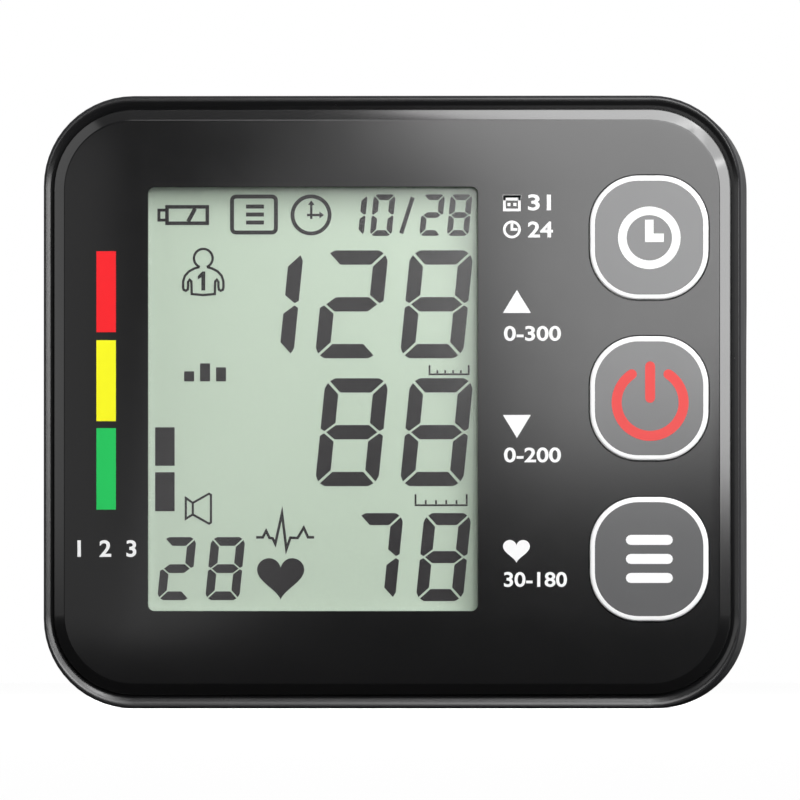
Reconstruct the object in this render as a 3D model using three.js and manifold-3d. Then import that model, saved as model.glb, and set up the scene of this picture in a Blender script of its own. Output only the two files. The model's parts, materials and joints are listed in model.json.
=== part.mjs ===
// A wrist blood pressure monitor: a black case with a display and three keys, and a cuff on its back.
// Millimetres, +Z up. The display faces -Y and the cuff's bore runs along X.
// Pieces are first placed about the middle of the case (x and z) with y counted back from the panel's face.

import * as THREE from 'three';
import { mergeVertices } from 'three/addons/utils/BufferGeometryUtils.js';
import Module from 'manifold-3d';

const wasm = await Module();
wasm.setup();

// Fits
const SEAT = 0.1; // between faces that rest on each other
const SLIDE = 0.2; // round a piece that slides or is dropped in
const RUN = 0.3; // round a piece that turns, and under soft pieces

// Case
const BODY_WIDTH = 69.8;
const BODY_HEIGHT = 61.3;
const BODY_CORNER = 9;
const BODY_DEPTH = 27; // panel face to the rear edges
const WALL = 1.6;
const BACK_WALL = 1.5;
const PART_LINE = 10; // depth of the joint between the bezel and the rear cover
const REAR_FILLET = 3;
const RIM_SIDE = 1.1; // from the panel's edge to the case's side
const RIM_END = 1.45; // from the panel's edge to the case's top and bottom
const RIM_SET_BACK = 0.6; // rim crest behind the panel's face
const RIM_ROUND = 0.55;
const RIM_INNER = 0.3; // bevel on the rim's inner edge

// Front panel and display
const PANEL_THICKNESS = 1.6;
const PANEL_BEVEL = 1;
const PANEL_BEVEL_DEPTH = 0.6;
const WINDOW_LEFT = 10.5; // from the window's edges to the case's sides, top and bottom
const WINDOW_RIGHT = 26.3;
const WINDOW_TOP = 9.15;
const WINDOW_BOTTOM = 9.75;
const WINDOW_CORNER = 0.65;
const WEB_THICKNESS = 1.2;
const GLASS_THICKNESS = 2.2;
const GLASS_BORDER_SIDE = 1.6;
const GLASS_BORDER_END = 1.2;
const STRIP_WIDTH = 2; // conductive rubber strip under the glass
const STRIP_HEIGHT = 2.4;

// Keys
const KEY_WIDTH = 11.85;
const KEY_FLAT = 1.025; // half the straight part of a key's shorter edge
const KEY_SPACING = 3.67; // between one key and the next
const KEY_TO_SIDE = 9.15; // from a key's middle to the case's right side
const KEY_TO_END = 14.58; // from an outer key's middle to the case's end, were the keys not set up by KEY_Z
const KEY_Z = 0.35;
const KEY_PROUD = 0.25;
const KEY_ROUND = 0.2;
const KEY_FLANGE = 0.8;
const KEY_FLANGE_THICKNESS = 0.8;
const KEY_TRAVEL = 0.5;
const KEY_NAMES = ['start', 'power', 'memory'];
const SWITCH_SIZE = 6;
const PLUNGER_RADIUS = 1.6;
const PLUNGER_LENGTH = 1.2;

// Circuit board
const BOARD_THICKNESS = 1.2;
const BOARD_CORNER = 3;
const BOARD_EDGE_GAP = 0.5;
const POST_RADIUS = 2.2;
const BOARD_SCREW_RADIUS = 0.8;
const BOARD_SCREW_HEAD_RADIUS = 1.6;
const BOARD_SCREW_HEAD = 1;
const BOARD_SCREW_LENGTH = 4;
const BOARD_SCREW_TO_WALL = 3.8; // left screws to the case's inside
const BOARD_SCREW_TO_KEY = 10.95; // right screw and buzzer to the keys' middle line
const BOARD_SCREW_TO_EDGE = 5.15; // to the board's upper and lower edges
const CHIP_SIZE = 8;
const CHIP_THICKNESS = 1.2;
const CHIP_TO_KEY = 1.75;
const CHIP_TO_EDGE = 9.15;
const BUZZER_RADIUS = 3.6;
const BUZZER_HEIGHT = 3;
const BUZZER_Z = 7;

// Case screws and their bosses
const BOSS_RADIUS = 2.9;
const BOSS_IN_WALL = 0.4;
const SCREW_RADIUS = 1;
const SCREW_HEAD_RADIUS = 1.8;
const SCREW_HEAD = 1.5;
const SCREW_LENGTH = 8;
const SCREW_FLOOR = 2.5; // boss floor that the screw head pulls on

// Cells, their tray and the door
const CELL_RADIUS = 5.25;
const CELL_TO_END = 8.4; // from a cell's ends to the case's top and bottom
const CELL_NUB_RADIUS = 1.9;
const CELL_NUB = 0.8;
const CELL_GAP = 0.5;
const CELL_TO_WALL = 0.75;
const CONTACT_THICKNESS = 0.3;
const CONTACT_WIDTH = 8;
const SPRING_LENGTH = 4;
const SPRING_TURNS = 3;
const SPRING_WIRE = 0.5;
const SPRING_BASE_RADIUS = 3.2;
const SPRING_TIP_RADIUS = 1.6;
const TRAY_WALL = 1;
const TRAY_FLOOR = 0.8;
const TRAY_ROOM = 1.3; // room behind the board for its screw heads
const DOOR_MARGIN = 0.35; // opening past each end of a cell
const DOOR_GAP = 0.25;
const HINGE_RADIUS = 1.2;
const PIN_RADIUS = 0.5;
const PIN_LENGTH = 1.3;
const PIN_PLAY = 0.15;
const EAR_LENGTH = 1.6;
const TONGUE_WIDTH = 8;
const TONGUE_REACH = 1.5;
const TONGUE_THICKNESS = 1;
const TONGUE_SET_BACK = 0.6;
const THUMB_RADIUS = 6; // thumb scoop in the door's rear edge
const THUMB_DEPTH = 0.6;
const THUMB_LENGTH = 3;

// Air pump, valve, sensor and hoses
const PUMP_SIDE = 12.4;
const PUMP_HEAD_HEIGHT = 5;
const PUMP_HOUSING_HEIGHT = 8;
const PUMP_BORE_RADIUS = 5.2;
const PUMP_ROOF = 0.7;
const PUMP_RECESS_RADIUS = 4;
const DIAPHRAGM_SHEET = 0.8;
const CUP_RADIUS = 1.5;
const CUP_HEIGHT = 2.3;
const CUP_CIRCLE = 3;
const CUP_COUNT = 3;
const DRIVE_PLATE_RADIUS = 4.6;
const DRIVE_PLATE_THICKNESS = 0.8;
const CRANK_RADIUS = 2.6;
const CRANK_THICKNESS = 1.4;
const CRANK_THROW = 1;
const CRANK_PIN_RADIUS = 0.5;
const SHAFT_RADIUS = 0.75;
const SHAFT_IN_MOTOR = 5;
const MOTOR_RADIUS = 5.9;
const MOTOR_TO_WALL = 2.45; // to the case's inside, above it
const CRADLE_THICKNESS = 1.2;
const CRADLE_COUNT = 2;
const VALVE_SIDE = 9;
const VALVE_LENGTH = 14;
const VALVE_TOP = -8; // nozzle end of the valve below the air line
const VALVE_BORE_RADIUS = 2.2;
const VALVE_BORE_DEPTH = 11;
const VALVE_PLUNGER_LENGTH = 7;
const VALVE_CAP = 1;
const VALVE_SPRING_LENGTH = 2.4;
const VALVE_SPRING_TURNS = 3;
const VALVE_SPRING_WIRE = 0.4;
const SENSOR_SIDE = 7;
const SENSOR_HEIGHT = 1.8;
const AIR_GAPS = [1.65, 1.3, 4.8, 0.6, 1.5]; // past the cells: left boss, valve, pump, motor, right boss
const JUNCTION_HALF = 1.7;
const NOZZLE_RADIUS = 1;
const NOZZLE_LENGTH = 1.7;
const AIRWAY_RADIUS = 0.55;
const HOSE_RADIUS = 1.9;
const HOSE_BORE_RADIUS = 1.2;
const PUMP_NOZZLE_LENGTH = 2.6;
const VALVE_NOZZLE_LENGTH = 2;
const SENSOR_NOZZLE_LENGTH = 1.2;

// Cuff, an oval sleeve of layers round the wrist with a closing strap
const WRIST_DEPTH = 20.6; // half the bore, front to back
const WRIST_HEIGHT = 23.6; // half the bore, up and down
const LINING = 0.9;
const BLADDER = 1.2;
const STIFFENER = 1.4;
const SLEEVE_FABRIC = 0.8;
const SLEEVE_WIDTH = 62;
const LINING_WIDTH = 60;
const STIFFENER_WIDTH = 54;
const BLADDER_WIDTH = 50;
const SLEEVE_REACH = 118; // degrees each way from the case
const STIFFENER_REACH = 112;
const BLADDER_REACH = 100;
const STRAP_WIDTH = 54;
const STRAP_THICKNESS = 1.2;
const STRAP_HINGE = -120; // degrees, below and behind the wrist
const STRAP_HINGE_GAP = 2;
const STRAP_TIP = 78; // degrees, just in front of the top
const HOOK_THICKNESS = 0.6;
const HOOK_SPAN = 34; // degrees from near the strap's tip
const HOOK_INSET = 3;
const HOOK_WIDTH = 44;
const CUFF_SCREW_Z = 9;
const CUFF_SCREW_RADIUS = 1;
const CUFF_SCREW_HEAD_RADIUS = 1.8;
const CUFF_SCREW_HEAD = 1.2;
const CUFF_PAD_RADIUS = 2.7;
const CUFF_PAD_HEIGHT = 0.7;
const NIPPLE_RADIUS = 1.8;
const NIPPLE_FLANGE_RADIUS = 4;
const NIPPLE_FLANGE = 0.7;

// Faceting
const CORNER_STEPS = 6;
const ROUND_SIDES = 20;
const SMALL_SIDES = 12;
const WIRE_SIDES = 6;
const TURN_STEPS = 10;
const OVAL_STEP = 4; // degrees
const FILLET_STEPS = 4;
const PAST = 1; // how far a cut runs past the face that it opens, and a stub into what it joins

// Places that follow from the sizes above
const halfWidth = BODY_WIDTH / 2;
const halfHeight = BODY_HEIGHT / 2;
const innerHalfWidth = halfWidth - WALL;
const innerHalfHeight = halfHeight - WALL;
const panelWidth = BODY_WIDTH - 2 * RIM_SIDE;
const panelHeight = BODY_HEIGHT - 2 * RIM_END;
const panelCorner = BODY_CORNER - RIM_SIDE;
const webFront = PANEL_THICKNESS + SEAT;
const webBack = webFront + WEB_THICKNESS;
const glassFront = PANEL_THICKNESS + SEAT;
const glassBack = glassFront + GLASS_THICKNESS;
const windowWidth = BODY_WIDTH - WINDOW_LEFT - WINDOW_RIGHT;
const windowHeight = BODY_HEIGHT - WINDOW_TOP - WINDOW_BOTTOM;
const windowX = (WINDOW_LEFT - WINDOW_RIGHT) / 2;
const windowZ = (WINDOW_BOTTOM - WINDOW_TOP) / 2;
const glassWidth = windowWidth + 2 * GLASS_BORDER_SIDE;
const glassHeight = windowHeight + 2 * GLASS_BORDER_END;
const keyX = halfWidth - KEY_TO_SIDE;
const keyPitch = halfHeight - KEY_TO_END;
const keyHeight = keyPitch - KEY_SPACING;
const keyCorner = Math.min(KEY_WIDTH, keyHeight) / 2 - KEY_FLAT;
const boardFront = glassBack + STRIP_HEIGHT + 2 * SEAT;
const boardBack = boardFront + BOARD_THICKNESS;
const bossZ = innerHalfHeight - BOSS_RADIUS + BOSS_IN_WALL;
const boardWidth = 2 * (innerHalfWidth - BOARD_EDGE_GAP);
const boardHeight = 2 * (bossZ - BOSS_RADIUS - BOARD_EDGE_GAP);
const boardScrewX = [-innerHalfWidth + BOARD_SCREW_TO_WALL, keyX - BOARD_SCREW_TO_KEY];
const boardScrewZ = boardHeight / 2 - BOARD_SCREW_TO_EDGE;
const boardScrewPlaces = [
  [boardScrewX[0], boardScrewZ],
  [boardScrewX[0], -boardScrewZ],
  [boardScrewX[1], -boardScrewZ],
];
const coverFront = PART_LINE + SEAT;
const flangeFront = webBack + SEAT;
const flangeBack = flangeFront + KEY_FLANGE_THICKNESS;
const plungerFront = flangeBack + SEAT;
const switchFront = flangeBack + KEY_TRAVEL + SLIDE;
const trayFront = boardBack + TRAY_ROOM;
const cellFront = trayFront + TRAY_FLOOR + SLIDE;
const cellLength = BODY_HEIGHT - 2 * CELL_TO_END;
const cellY = cellFront + CELL_RADIUS;
const cellX = [-(innerHalfWidth - CELL_TO_WALL - CELL_RADIUS)];
cellX.push(cellX[0] + 2 * CELL_RADIUS + CELL_GAP);
const bayHalf = (cellLength + SPRING_LENGTH + 2 * CONTACT_THICKNESS + 5 * SEAT) / 2;
const backInside = cellY + CELL_RADIUS + RUN + SEAT; // the back wall's inner face, at the saddle's middle
const saddleY = backInside + BACK_WALL;
const pumpY = (boardBack + backInside) / 2;
const sleeveThickness = LINING + BLADDER + STIFFENER + SLEEVE_FABRIC + 3 * SEAT;
const wristY = saddleY + RUN + sleeveThickness + WRIST_DEPTH;
const strapInside = sleeveThickness + SLIDE + HOOK_THICKNESS + SEAT; // counted out from the bore
const strapOutside = strapInside + STRAP_THICKNESS;
const standZ = Math.max(halfHeight, WRIST_HEIGHT + strapOutside);
const backY = wristY + WRIST_DEPTH + strapOutside;
const middleY = (backY - KEY_PROUD) / 2;
const hingeX = -halfWidth + HINGE_RADIUS;
const hingeY = PART_LINE + RUN + HINGE_RADIUS;
const doorBack = cellY + CELL_RADIUS + SLIDE;
const doorHalf = cellLength / 2 + DOOR_MARGIN;
const partitionX = cellX[1] + CELL_RADIUS + RUN;
const pumpFloor = PUMP_HEAD_HEIGHT / 2;
const housingFloor = pumpFloor + DIAPHRAGM_SHEET + 2 * SEAT;
const housingTop = housingFloor + PUMP_HOUSING_HEIGHT;
const motorFloor = housingTop + SEAT;
const motorLength = innerHalfHeight - motorFloor - MOTOR_TO_WALL;
const valveBottom = VALVE_TOP - VALVE_LENGTH;
const valveY = boardBack + SEAT + VALVE_SIDE / 2;
const junctionTip = JUNCTION_HALF + NOZZLE_LENGTH;

// Past the cells, the width that the pump and the valve leave over is shared out as gaps between the pieces
const pumpReach = PUMP_NOZZLE_LENGTH + PUMP_SIDE / 2;
const taken = 4 * BOSS_RADIUS + VALVE_SIDE / 2 + junctionTip + pumpReach + MOTOR_RADIUS;
const gapShare = (innerHalfWidth - partitionX - taken) / AIR_GAPS.reduce((sum, gap) => sum + gap);
const [bossGap, valveGap, , motorGap, wallGap] = AIR_GAPS.map((gap) => gap * gapShare);
const bossX = [partitionX + bossGap + BOSS_RADIUS, innerHalfWidth - wallGap - BOSS_RADIUS];
const airX = bossX[0] + BOSS_RADIUS + valveGap + VALVE_SIDE / 2; // the junction, behind the cuff's nipple
const pumpX = bossX[1] - BOSS_RADIUS - motorGap - MOTOR_RADIUS;
const pumpLeft = pumpX - PUMP_SIDE / 2;

// Closed meshes as solids that can be joined and cut
function solidOf(geometry) {
  const bare = geometry.index ? geometry.toNonIndexed() : geometry.clone();
  bare.deleteAttribute('normal');
  bare.deleteAttribute('uv');
  const merged = mergeVertices(bare);
  const corners = [];
  for (let i = 0; i < merged.index.count; i += 3) {
    const [a, b, c] = merged.index.array.slice(i, i + 3);
    if (a !== b && b !== c && c !== a) corners.push(a, b, c);
  }
  const vertProperties = new Float32Array(merged.attributes.position.array);
  return new wasm.Manifold(new wasm.Mesh({ numProp: 3, vertProperties, triVerts: new Uint32Array(corners) }));
}

function geometryOf(solid) {
  const mesh = solid.getMesh();
  const geometry = new THREE.BufferGeometry();
  geometry.setAttribute('position', new THREE.BufferAttribute(new Float32Array(mesh.vertProperties), 3));
  geometry.setIndex(new THREE.BufferAttribute(new Uint32Array(mesh.triVerts), 1));
  geometry.computeVertexNormals();
  return geometry;
}

function join(solids) {
  return solids.reduce((whole, next) => whole.add(next));
}

function cutAll(solid, cutters) {
  return cutters.reduce((rest, cutter) => rest.subtract(cutter), solid);
}

// Basic shapes, each given by the span that it fills
function box(x, y, z) {
  const sizes = [x, y, z].map(([low, high]) => high - low);
  const middles = [x, y, z].map(([low, high]) => (low + high) / 2);
  return solidOf(new THREE.BoxGeometry(...sizes).translate(...middles));
}

function around(middle, size) {
  return [middle - size / 2, middle + size / 2];
}

function turn(geometry, axis, at) {
  if (axis === 'x') return geometry.rotateZ(-Math.PI / 2).translate(0, at[0], at[1]);
  if (axis === 'z') return geometry.rotateX(Math.PI / 2).translate(at[0], at[1], 0);
  return geometry.translate(at[0], 0, at[1]);
}

function rod(axis, radius, [from, to], at, sides = ROUND_SIDES) {
  const geometry = new THREE.CylinderGeometry(radius, radius, to - from, sides);
  return solidOf(turn(geometry.translate(0, (from + to) / 2, 0), axis, at));
}

function smallRod(axis, radius, span, at) {
  return rod(axis, radius, span, at, SMALL_SIDES);
}

function tube(axis, radius, bore, [from, to], at) {
  return smallRod(axis, radius, [from, to], at).subtract(smallRod(axis, bore, [from - PAST, to + PAST], at));
}

// A turned solid: the profile is [radius, place along the axis] and closes on the axis
function turned(axis, profile, at, sides = ROUND_SIDES) {
  const points = profile.map(([radius, along]) => new THREE.Vector2(radius, along));
  return solidOf(turn(new THREE.LatheGeometry(points, sides), axis, at));
}

// A rounded rectangle's points, anticlockwise as seen from the front
function roundedRing(width, height, corner) {
  const points = [];
  const centres = [[1, 1], [-1, 1], [-1, -1], [1, -1]];
  centres.forEach(([sideX, sideZ], quarter) => {
    for (let step = 0; step <= CORNER_STEPS; step += 1) {
      const angle = (quarter + step / CORNER_STEPS) * Math.PI / 2;
      const x = sideX * (width / 2 - corner) + corner * Math.cos(angle);
      const z = sideZ * (height / 2 - corner) + corner * Math.sin(angle);
      points.push([x, z]);
    }
  });
  return points;
}

// A stack of rounded rectangles from front to back, each level given as [y, width, height, corner]
function prism(levels, [x, z] = [0, 0]) {
  const rings = levels.map(([, width, height, corner]) => roundedRing(width, height, corner));
  const count = rings[0].length;
  const positions = [];
  rings.forEach((ring, level) => ring.forEach((point) => {
    positions.push(x + point[0], levels[level][0], z + point[1]);
  }));
  const front = positions.length / 3;
  const back = front + 1;
  positions.push(x, levels[0][0], z, x, levels[levels.length - 1][0], z);
  const faces = [];
  const last = (rings.length - 1) * count;
  for (let i = 0; i < count; i += 1) {
    const j = (i + 1) % count;
    faces.push(front, i, j, back, last + j, last + i);
    for (let level = 0; level < rings.length - 1; level += 1) {
      const a = level * count;
      const b = a + count;
      faces.push(a + i, b + i, a + j, a + j, b + i, b + j);
    }
  }
  const geometry = new THREE.BufferGeometry();
  geometry.setAttribute('position', new THREE.Float32BufferAttribute(positions, 3));
  geometry.setIndex(faces);
  return solidOf(geometry);
}

function slab([front, back], width, height, corner, at) {
  return prism([[front, width, height, corner], [back, width, height, corner]], at);
}

// Levels of a rounded edge, from its crest at y to the full outline
// toward is 1 for a front edge and -1 for a rear one
function roundedEdge(y, radius, toward, width, height, corner) {
  const levels = [];
  for (let step = 0; step <= FILLET_STEPS; step += 1) {
    const angle = (step / FILLET_STEPS) * Math.PI / 2;
    const inset = radius * (1 - Math.sin(angle));
    const along = y + toward * radius * (1 - Math.cos(angle));
    levels.push([along, width - 2 * inset, height - 2 * inset, corner - inset]);
  }
  return levels;
}

// A round wire wound from one place along z to another, its radius changing from base to tip
function coil(from, to, base, tip, turns, wire, at) {
  class Winding extends THREE.Curve {
    getPoint(t, target = new THREE.Vector3()) {
      const angle = 2 * Math.PI * turns * t;
      const radius = base + (tip - base) * t;
      const x = at[0] + radius * Math.cos(angle);
      const y = at[1] + radius * Math.sin(angle);
      return target.set(x, y, from + (to - from) * t);
    }
  }
  const section = new THREE.Shape();
  section.absarc(0, 0, wire / 2, 0, 2 * Math.PI);
  const options = { curveSegments: WIRE_SIDES / 2, steps: turns * TURN_STEPS, extrudePath: new Winding() };
  return solidOf(new THREE.ExtrudeGeometry(section, options));
}

// The cuff's ovals: a point at an angle from the case, a distance out from the bore
function ovalPoint(out, degrees) {
  const angle = THREE.MathUtils.degToRad(degrees);
  const y = wristY - (WRIST_DEPTH + out) * Math.cos(angle);
  return new THREE.Vector2(y, (WRIST_HEIGHT + out) * Math.sin(angle));
}

function ovalFaceY(out, z) {
  return wristY - (WRIST_DEPTH + out) * Math.sqrt(1 - (z / (WRIST_HEIGHT + out)) ** 2);
}

function ovalArc(out, from, to) {
  const count = Math.ceil(Math.abs(to - from) / OVAL_STEP);
  return Array.from({ length: count + 1 }, (_, i) => ovalPoint(out, from + (to - from) * (i / count)));
}

function acrossX(points, width) {
  const geometry = new THREE.ExtrudeGeometry(new THREE.Shape(points), { depth: width, bevelEnabled: false });
  const basis = new THREE.Matrix4().makeBasis(
    new THREE.Vector3(0, 1, 0),
    new THREE.Vector3(0, 0, 1),
    new THREE.Vector3(1, 0, 0),
  );
  return solidOf(geometry.applyMatrix4(basis).translate(-width / 2, 0, 0));
}

function ovalStrip(inside, outside, from, to, width) {
  return acrossX([...ovalArc(outside, from, to), ...ovalArc(inside, to, from)], width);
}

function ovalBlock(out) {
  return acrossX(ovalArc(out, 0, 360 - OVAL_STEP), BODY_WIDTH + 2 * PAST);
}

// Each piece, with its own finish
function piece(name, solid, color, roughness, metalness = 0) {
  const material = new THREE.MeshStandardMaterial({ color, roughness, metalness });
  const mesh = new THREE.Mesh(geometryOf(solid), material);
  mesh.name = name;
  return mesh;
}

function keyPlace(index) {
  return [keyX, KEY_Z + keyPitch * (1 - index)];
}

// Screw places round the case: left and right, bottom and top
function bossPlaces() {
  return bossX.flatMap((x) => [-bossZ, bossZ].map((z) => [x, z]));
}

// Display and keys
function displayPieces() {
  const place = [windowX, windowZ];
  const windowSize = [windowWidth - 2 * SEAT, windowHeight - 2 * SEAT, WINDOW_CORNER];
  const window = slab([0, PANEL_THICKNESS], ...windowSize, place);
  const glass = slab([glassFront, glassBack], glassWidth, glassHeight, WINDOW_CORNER, place);
  const underside = windowZ - glassHeight / 2;
  const holderLow = underside + STRIP_WIDTH + 2 * RUN;
  const holderHigh = windowZ + glassHeight / 2;
  const depth = [glassBack + SEAT, boardFront - SEAT];
  const holder = box(around(windowX, glassWidth), depth, [holderLow, holderHigh]);
  const strip = box(around(windowX, windowWidth), depth, [underside + RUN, underside + RUN + STRIP_WIDTH]);
  return [
    piece('display_window', window, 0xdfe8e2, 0.05),
    piece('display_glass', glass, 0xc2d3c0, 0.2),
    piece('display_holder', holder, 0xe8e8e4, 0.6),
    piece('contact_strip', strip, 0x2a2a2c, 0.9),
  ];
}

function keyPieces(name, index) {
  const place = keyPlace(index);
  const cap = prism([
    ...roundedEdge(-KEY_PROUD, KEY_ROUND, 1, KEY_WIDTH, keyHeight, keyCorner),
    [flangeFront, KEY_WIDTH, keyHeight, keyCorner],
  ], place);
  const flangeSize = [KEY_WIDTH + 2 * KEY_FLANGE, keyHeight + 2 * KEY_FLANGE, keyCorner + KEY_FLANGE];
  const flange = slab([flangeFront, flangeBack], ...flangeSize, place);
  const plunger = rod('y', PLUNGER_RADIUS, [plungerFront, plungerFront + PLUNGER_LENGTH], place);
  const bodyDepth = [switchFront, boardFront - SEAT];
  const body = box(around(place[0], SWITCH_SIZE), bodyDepth, around(place[1], SWITCH_SIZE));
  const wellFloor = plungerFront + PLUNGER_LENGTH + KEY_TRAVEL + SEAT;
  const well = rod('y', PLUNGER_RADIUS + SLIDE, [switchFront - PAST, wellFloor], place);
  return [
    piece(`key_${name}`, cap.add(flange), 0x8c8c8c, 0.35),
    piece(`switch_plunger_${name}`, plunger, 0x1c1c1e, 0.6),
    piece(`switch_body_${name}`, body.subtract(well), 0x3a3a3e, 0.5),
  ];
}

// Board and what is soldered to it
function boardPieces() {
  const holes = boardScrewPlaces.map((at) => (
    smallRod('y', BOARD_SCREW_RADIUS + SLIDE, [boardFront - PAST, boardBack + PAST], at)
  ));
  const board = slab([boardFront, boardBack], boardWidth, boardHeight, BOARD_CORNER);
  const chipSpan = [boardBack + SEAT, boardBack + SEAT + CHIP_THICKNESS];
  const chipAt = [keyX - CHIP_TO_KEY, CHIP_TO_EDGE - boardHeight / 2];
  const chip = box(around(chipAt[0], CHIP_SIZE), chipSpan, around(chipAt[1], CHIP_SIZE));
  const buzzerSpan = [boardFront - SEAT - BUZZER_HEIGHT, boardFront - SEAT];
  const screws = boardScrewPlaces.map((at, index) => {
    const seat = boardBack + SEAT;
    const solid = turned('y', [
      [0, seat - BOARD_SCREW_LENGTH],
      [BOARD_SCREW_RADIUS, seat - BOARD_SCREW_LENGTH],
      [BOARD_SCREW_RADIUS, seat],
      [BOARD_SCREW_HEAD_RADIUS, seat],
      [BOARD_SCREW_HEAD_RADIUS, seat + BOARD_SCREW_HEAD],
      [0, seat + BOARD_SCREW_HEAD],
    ], at, SMALL_SIDES);
    return piece(`board_screw_${index + 1}`, solid, 0x9a9a9c, 0.3, 1);
  });
  return [
    piece('main_board', cutAll(board, holes), 0x1d5a34, 0.5),
    piece('controller_chip', chip, 0x141416, 0.5),
    piece('buzzer', rod('y', BUZZER_RADIUS, buzzerSpan, [boardScrewX[1], BUZZER_Z]), 0x1a1a1c, 0.4),
    ...screws,
  ];
}

// Cells, springs and contacts in their tray
function powerPieces() {
  const plateFloor = -bayHalf + SEAT;
  const plateTop = plateFloor + CONTACT_THICKNESS;
  const ySpan = around(cellY, CONTACT_WIDTH);
  const tip = SPRING_LENGTH - SPRING_WIRE;
  const pieces = [];
  cellX.forEach((x, index) => {
    const up = index === 0 ? 1 : -1; // the second cell stands on its nub
    const cellFoot = -bayHalf + CONTACT_THICKNESS + SPRING_LENGTH + 3 * SEAT;
    const profile = [
      [0, cellFoot],
      [CELL_RADIUS, cellFoot],
      [CELL_RADIUS, cellFoot + cellLength - CELL_NUB],
      [CELL_NUB_RADIUS, cellFoot + cellLength - CELL_NUB],
      [CELL_NUB_RADIUS, cellFoot + cellLength],
      [0, cellFoot + cellLength],
    ];
    const standing = up > 0 ? profile : profile.map(([radius, z]) => [radius, -z]).reverse();
    const springFoot = plateTop + SEAT + SPRING_WIRE / 2;
    const at = [x, cellY];
    const radii = [SPRING_BASE_RADIUS, SPRING_TIP_RADIUS];
    const spring = coil(up * springFoot, up * (springFoot + tip), ...radii, SPRING_TURNS, SPRING_WIRE, at);
    pieces.push(piece(`cell_${index + 1}`, turned('z', standing, at), 0x6a7078, 0.35, 0.6));
    pieces.push(piece(`cell_spring_${index + 1}`, spring, 0xb8b8ba, 0.25, 1));
    const plate = box(around(x, CONTACT_WIDTH), ySpan, [plateFloor, plateTop]);
    pieces.push(piece(`contact_plate_${index + 1}`, plate, 0xc4c4c6, 0.25, 1));
  });
  const bridgeSpan = [cellX[0] - CONTACT_WIDTH / 2, cellX[1] + CONTACT_WIDTH / 2];
  const bridge = box(bridgeSpan, ySpan, [-plateTop, -plateFloor]);
  const trayX = [cellX[0] - CELL_RADIUS / 2, partitionX + TRAY_WALL];
  const trayZ = [-bayHalf - TRAY_WALL, bayHalf + TRAY_WALL];
  const trayBack = backInside - RUN;
  const tray = join([
    box(trayX, [trayFront, trayFront + TRAY_FLOOR], trayZ),
    box([partitionX, trayX[1]], [trayFront, trayBack], trayZ),
    box(trayX, [trayFront, cellY + CELL_RADIUS], [trayZ[0], -bayHalf]),
    box(trayX, [trayFront, cellY + CELL_RADIUS], [bayHalf, trayZ[1]]),
  ]);
  pieces.push(piece('contact_bridge', bridge, 0xc4c4c6, 0.25, 1));
  pieces.push(piece('cell_tray', tray, 0x232326, 0.6));
  return pieces;
}

// Pump: a motor whose crank rocks a plate on three rubber cups
function pumpPieces() {
  const at = [pumpX, pumpY];
  const side = [around(pumpX, PUMP_SIDE), around(pumpY, PUMP_SIDE)];
  const nozzle = smallRod('x', NOZZLE_RADIUS, [pumpLeft - PUMP_NOZZLE_LENGTH, pumpLeft + PAST], [pumpY, 0]);
  const airway = smallRod('x', AIRWAY_RADIUS, [pumpLeft - PUMP_NOZZLE_LENGTH - PAST, pumpX], [pumpY, 0]);
  const recess = rod('z', PUMP_RECESS_RADIUS, [0, pumpFloor + PAST], at);
  const head = cutAll(box(...side, [-pumpFloor, pumpFloor]).add(nozzle), [recess, airway]);
  const sheetTop = pumpFloor + SEAT + DIAPHRAGM_SHEET;
  const cups = Array.from({ length: CUP_COUNT }, (_, i) => {
    const angle = (2 * Math.PI * i) / CUP_COUNT;
    const cupAt = [pumpX + CUP_CIRCLE * Math.cos(angle), pumpY + CUP_CIRCLE * Math.sin(angle)];
    return smallRod('z', CUP_RADIUS, [sheetTop - DIAPHRAGM_SHEET, sheetTop + CUP_HEIGHT], cupAt);
  });
  const diaphragm = join([box(...side, [pumpFloor + SEAT, sheetTop]), ...cups]);
  const plateFloor = sheetTop + CUP_HEIGHT + SEAT;
  const plateTop = plateFloor + DRIVE_PLATE_THICKNESS;
  const crankSweep = CRANK_THROW + CRANK_PIN_RADIUS + RUN;
  const drivePlate = tube('z', DRIVE_PLATE_RADIUS, crankSweep, [plateFloor, plateTop], at);
  const bore = rod('z', PUMP_BORE_RADIUS, [housingFloor - PAST, housingTop - PUMP_ROOF], at);
  const roofHole = smallRod('z', SHAFT_RADIUS + RUN, [housingFloor, housingTop + PAST], at);
  const housing = cutAll(box(...side, [housingFloor, housingTop]), [bore, roofHole]);
  const crankTop = housingTop - PUMP_ROOF - RUN;
  const pinAt = [pumpX + CRANK_THROW, pumpY];
  const crank = join([
    rod('z', CRANK_RADIUS, [crankTop - CRANK_THICKNESS, crankTop], at),
    smallRod('z', SHAFT_RADIUS, [crankTop - CRANK_THICKNESS / 2, motorFloor + SHAFT_IN_MOTOR], at),
    smallRod('z', CRANK_PIN_RADIUS, [plateFloor + SEAT, crankTop - CRANK_THICKNESS / 2], pinAt),
  ]);
  const shaftHoleTop = motorFloor + SHAFT_IN_MOTOR + RUN;
  const shaftHole = smallRod('z', SHAFT_RADIUS + SLIDE, [motorFloor - PAST, shaftHoleTop], at);
  const motor = rod('z', MOTOR_RADIUS, [motorFloor, motorFloor + motorLength], at).subtract(shaftHole);
  return [
    piece('pump_head', head, 0xd8d8d4, 0.5),
    piece('pump_diaphragm', diaphragm, 0x303034, 0.9),
    piece('pump_drive_plate', drivePlate, 0xe6e6e2, 0.5),
    piece('pump_housing', housing, 0xd8d8d4, 0.5),
    piece('pump_crank', crank, 0xb0b0b2, 0.3, 1),
    piece('pump_motor', motor, 0xb6b8ba, 0.3, 1),
  ];
}

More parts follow.
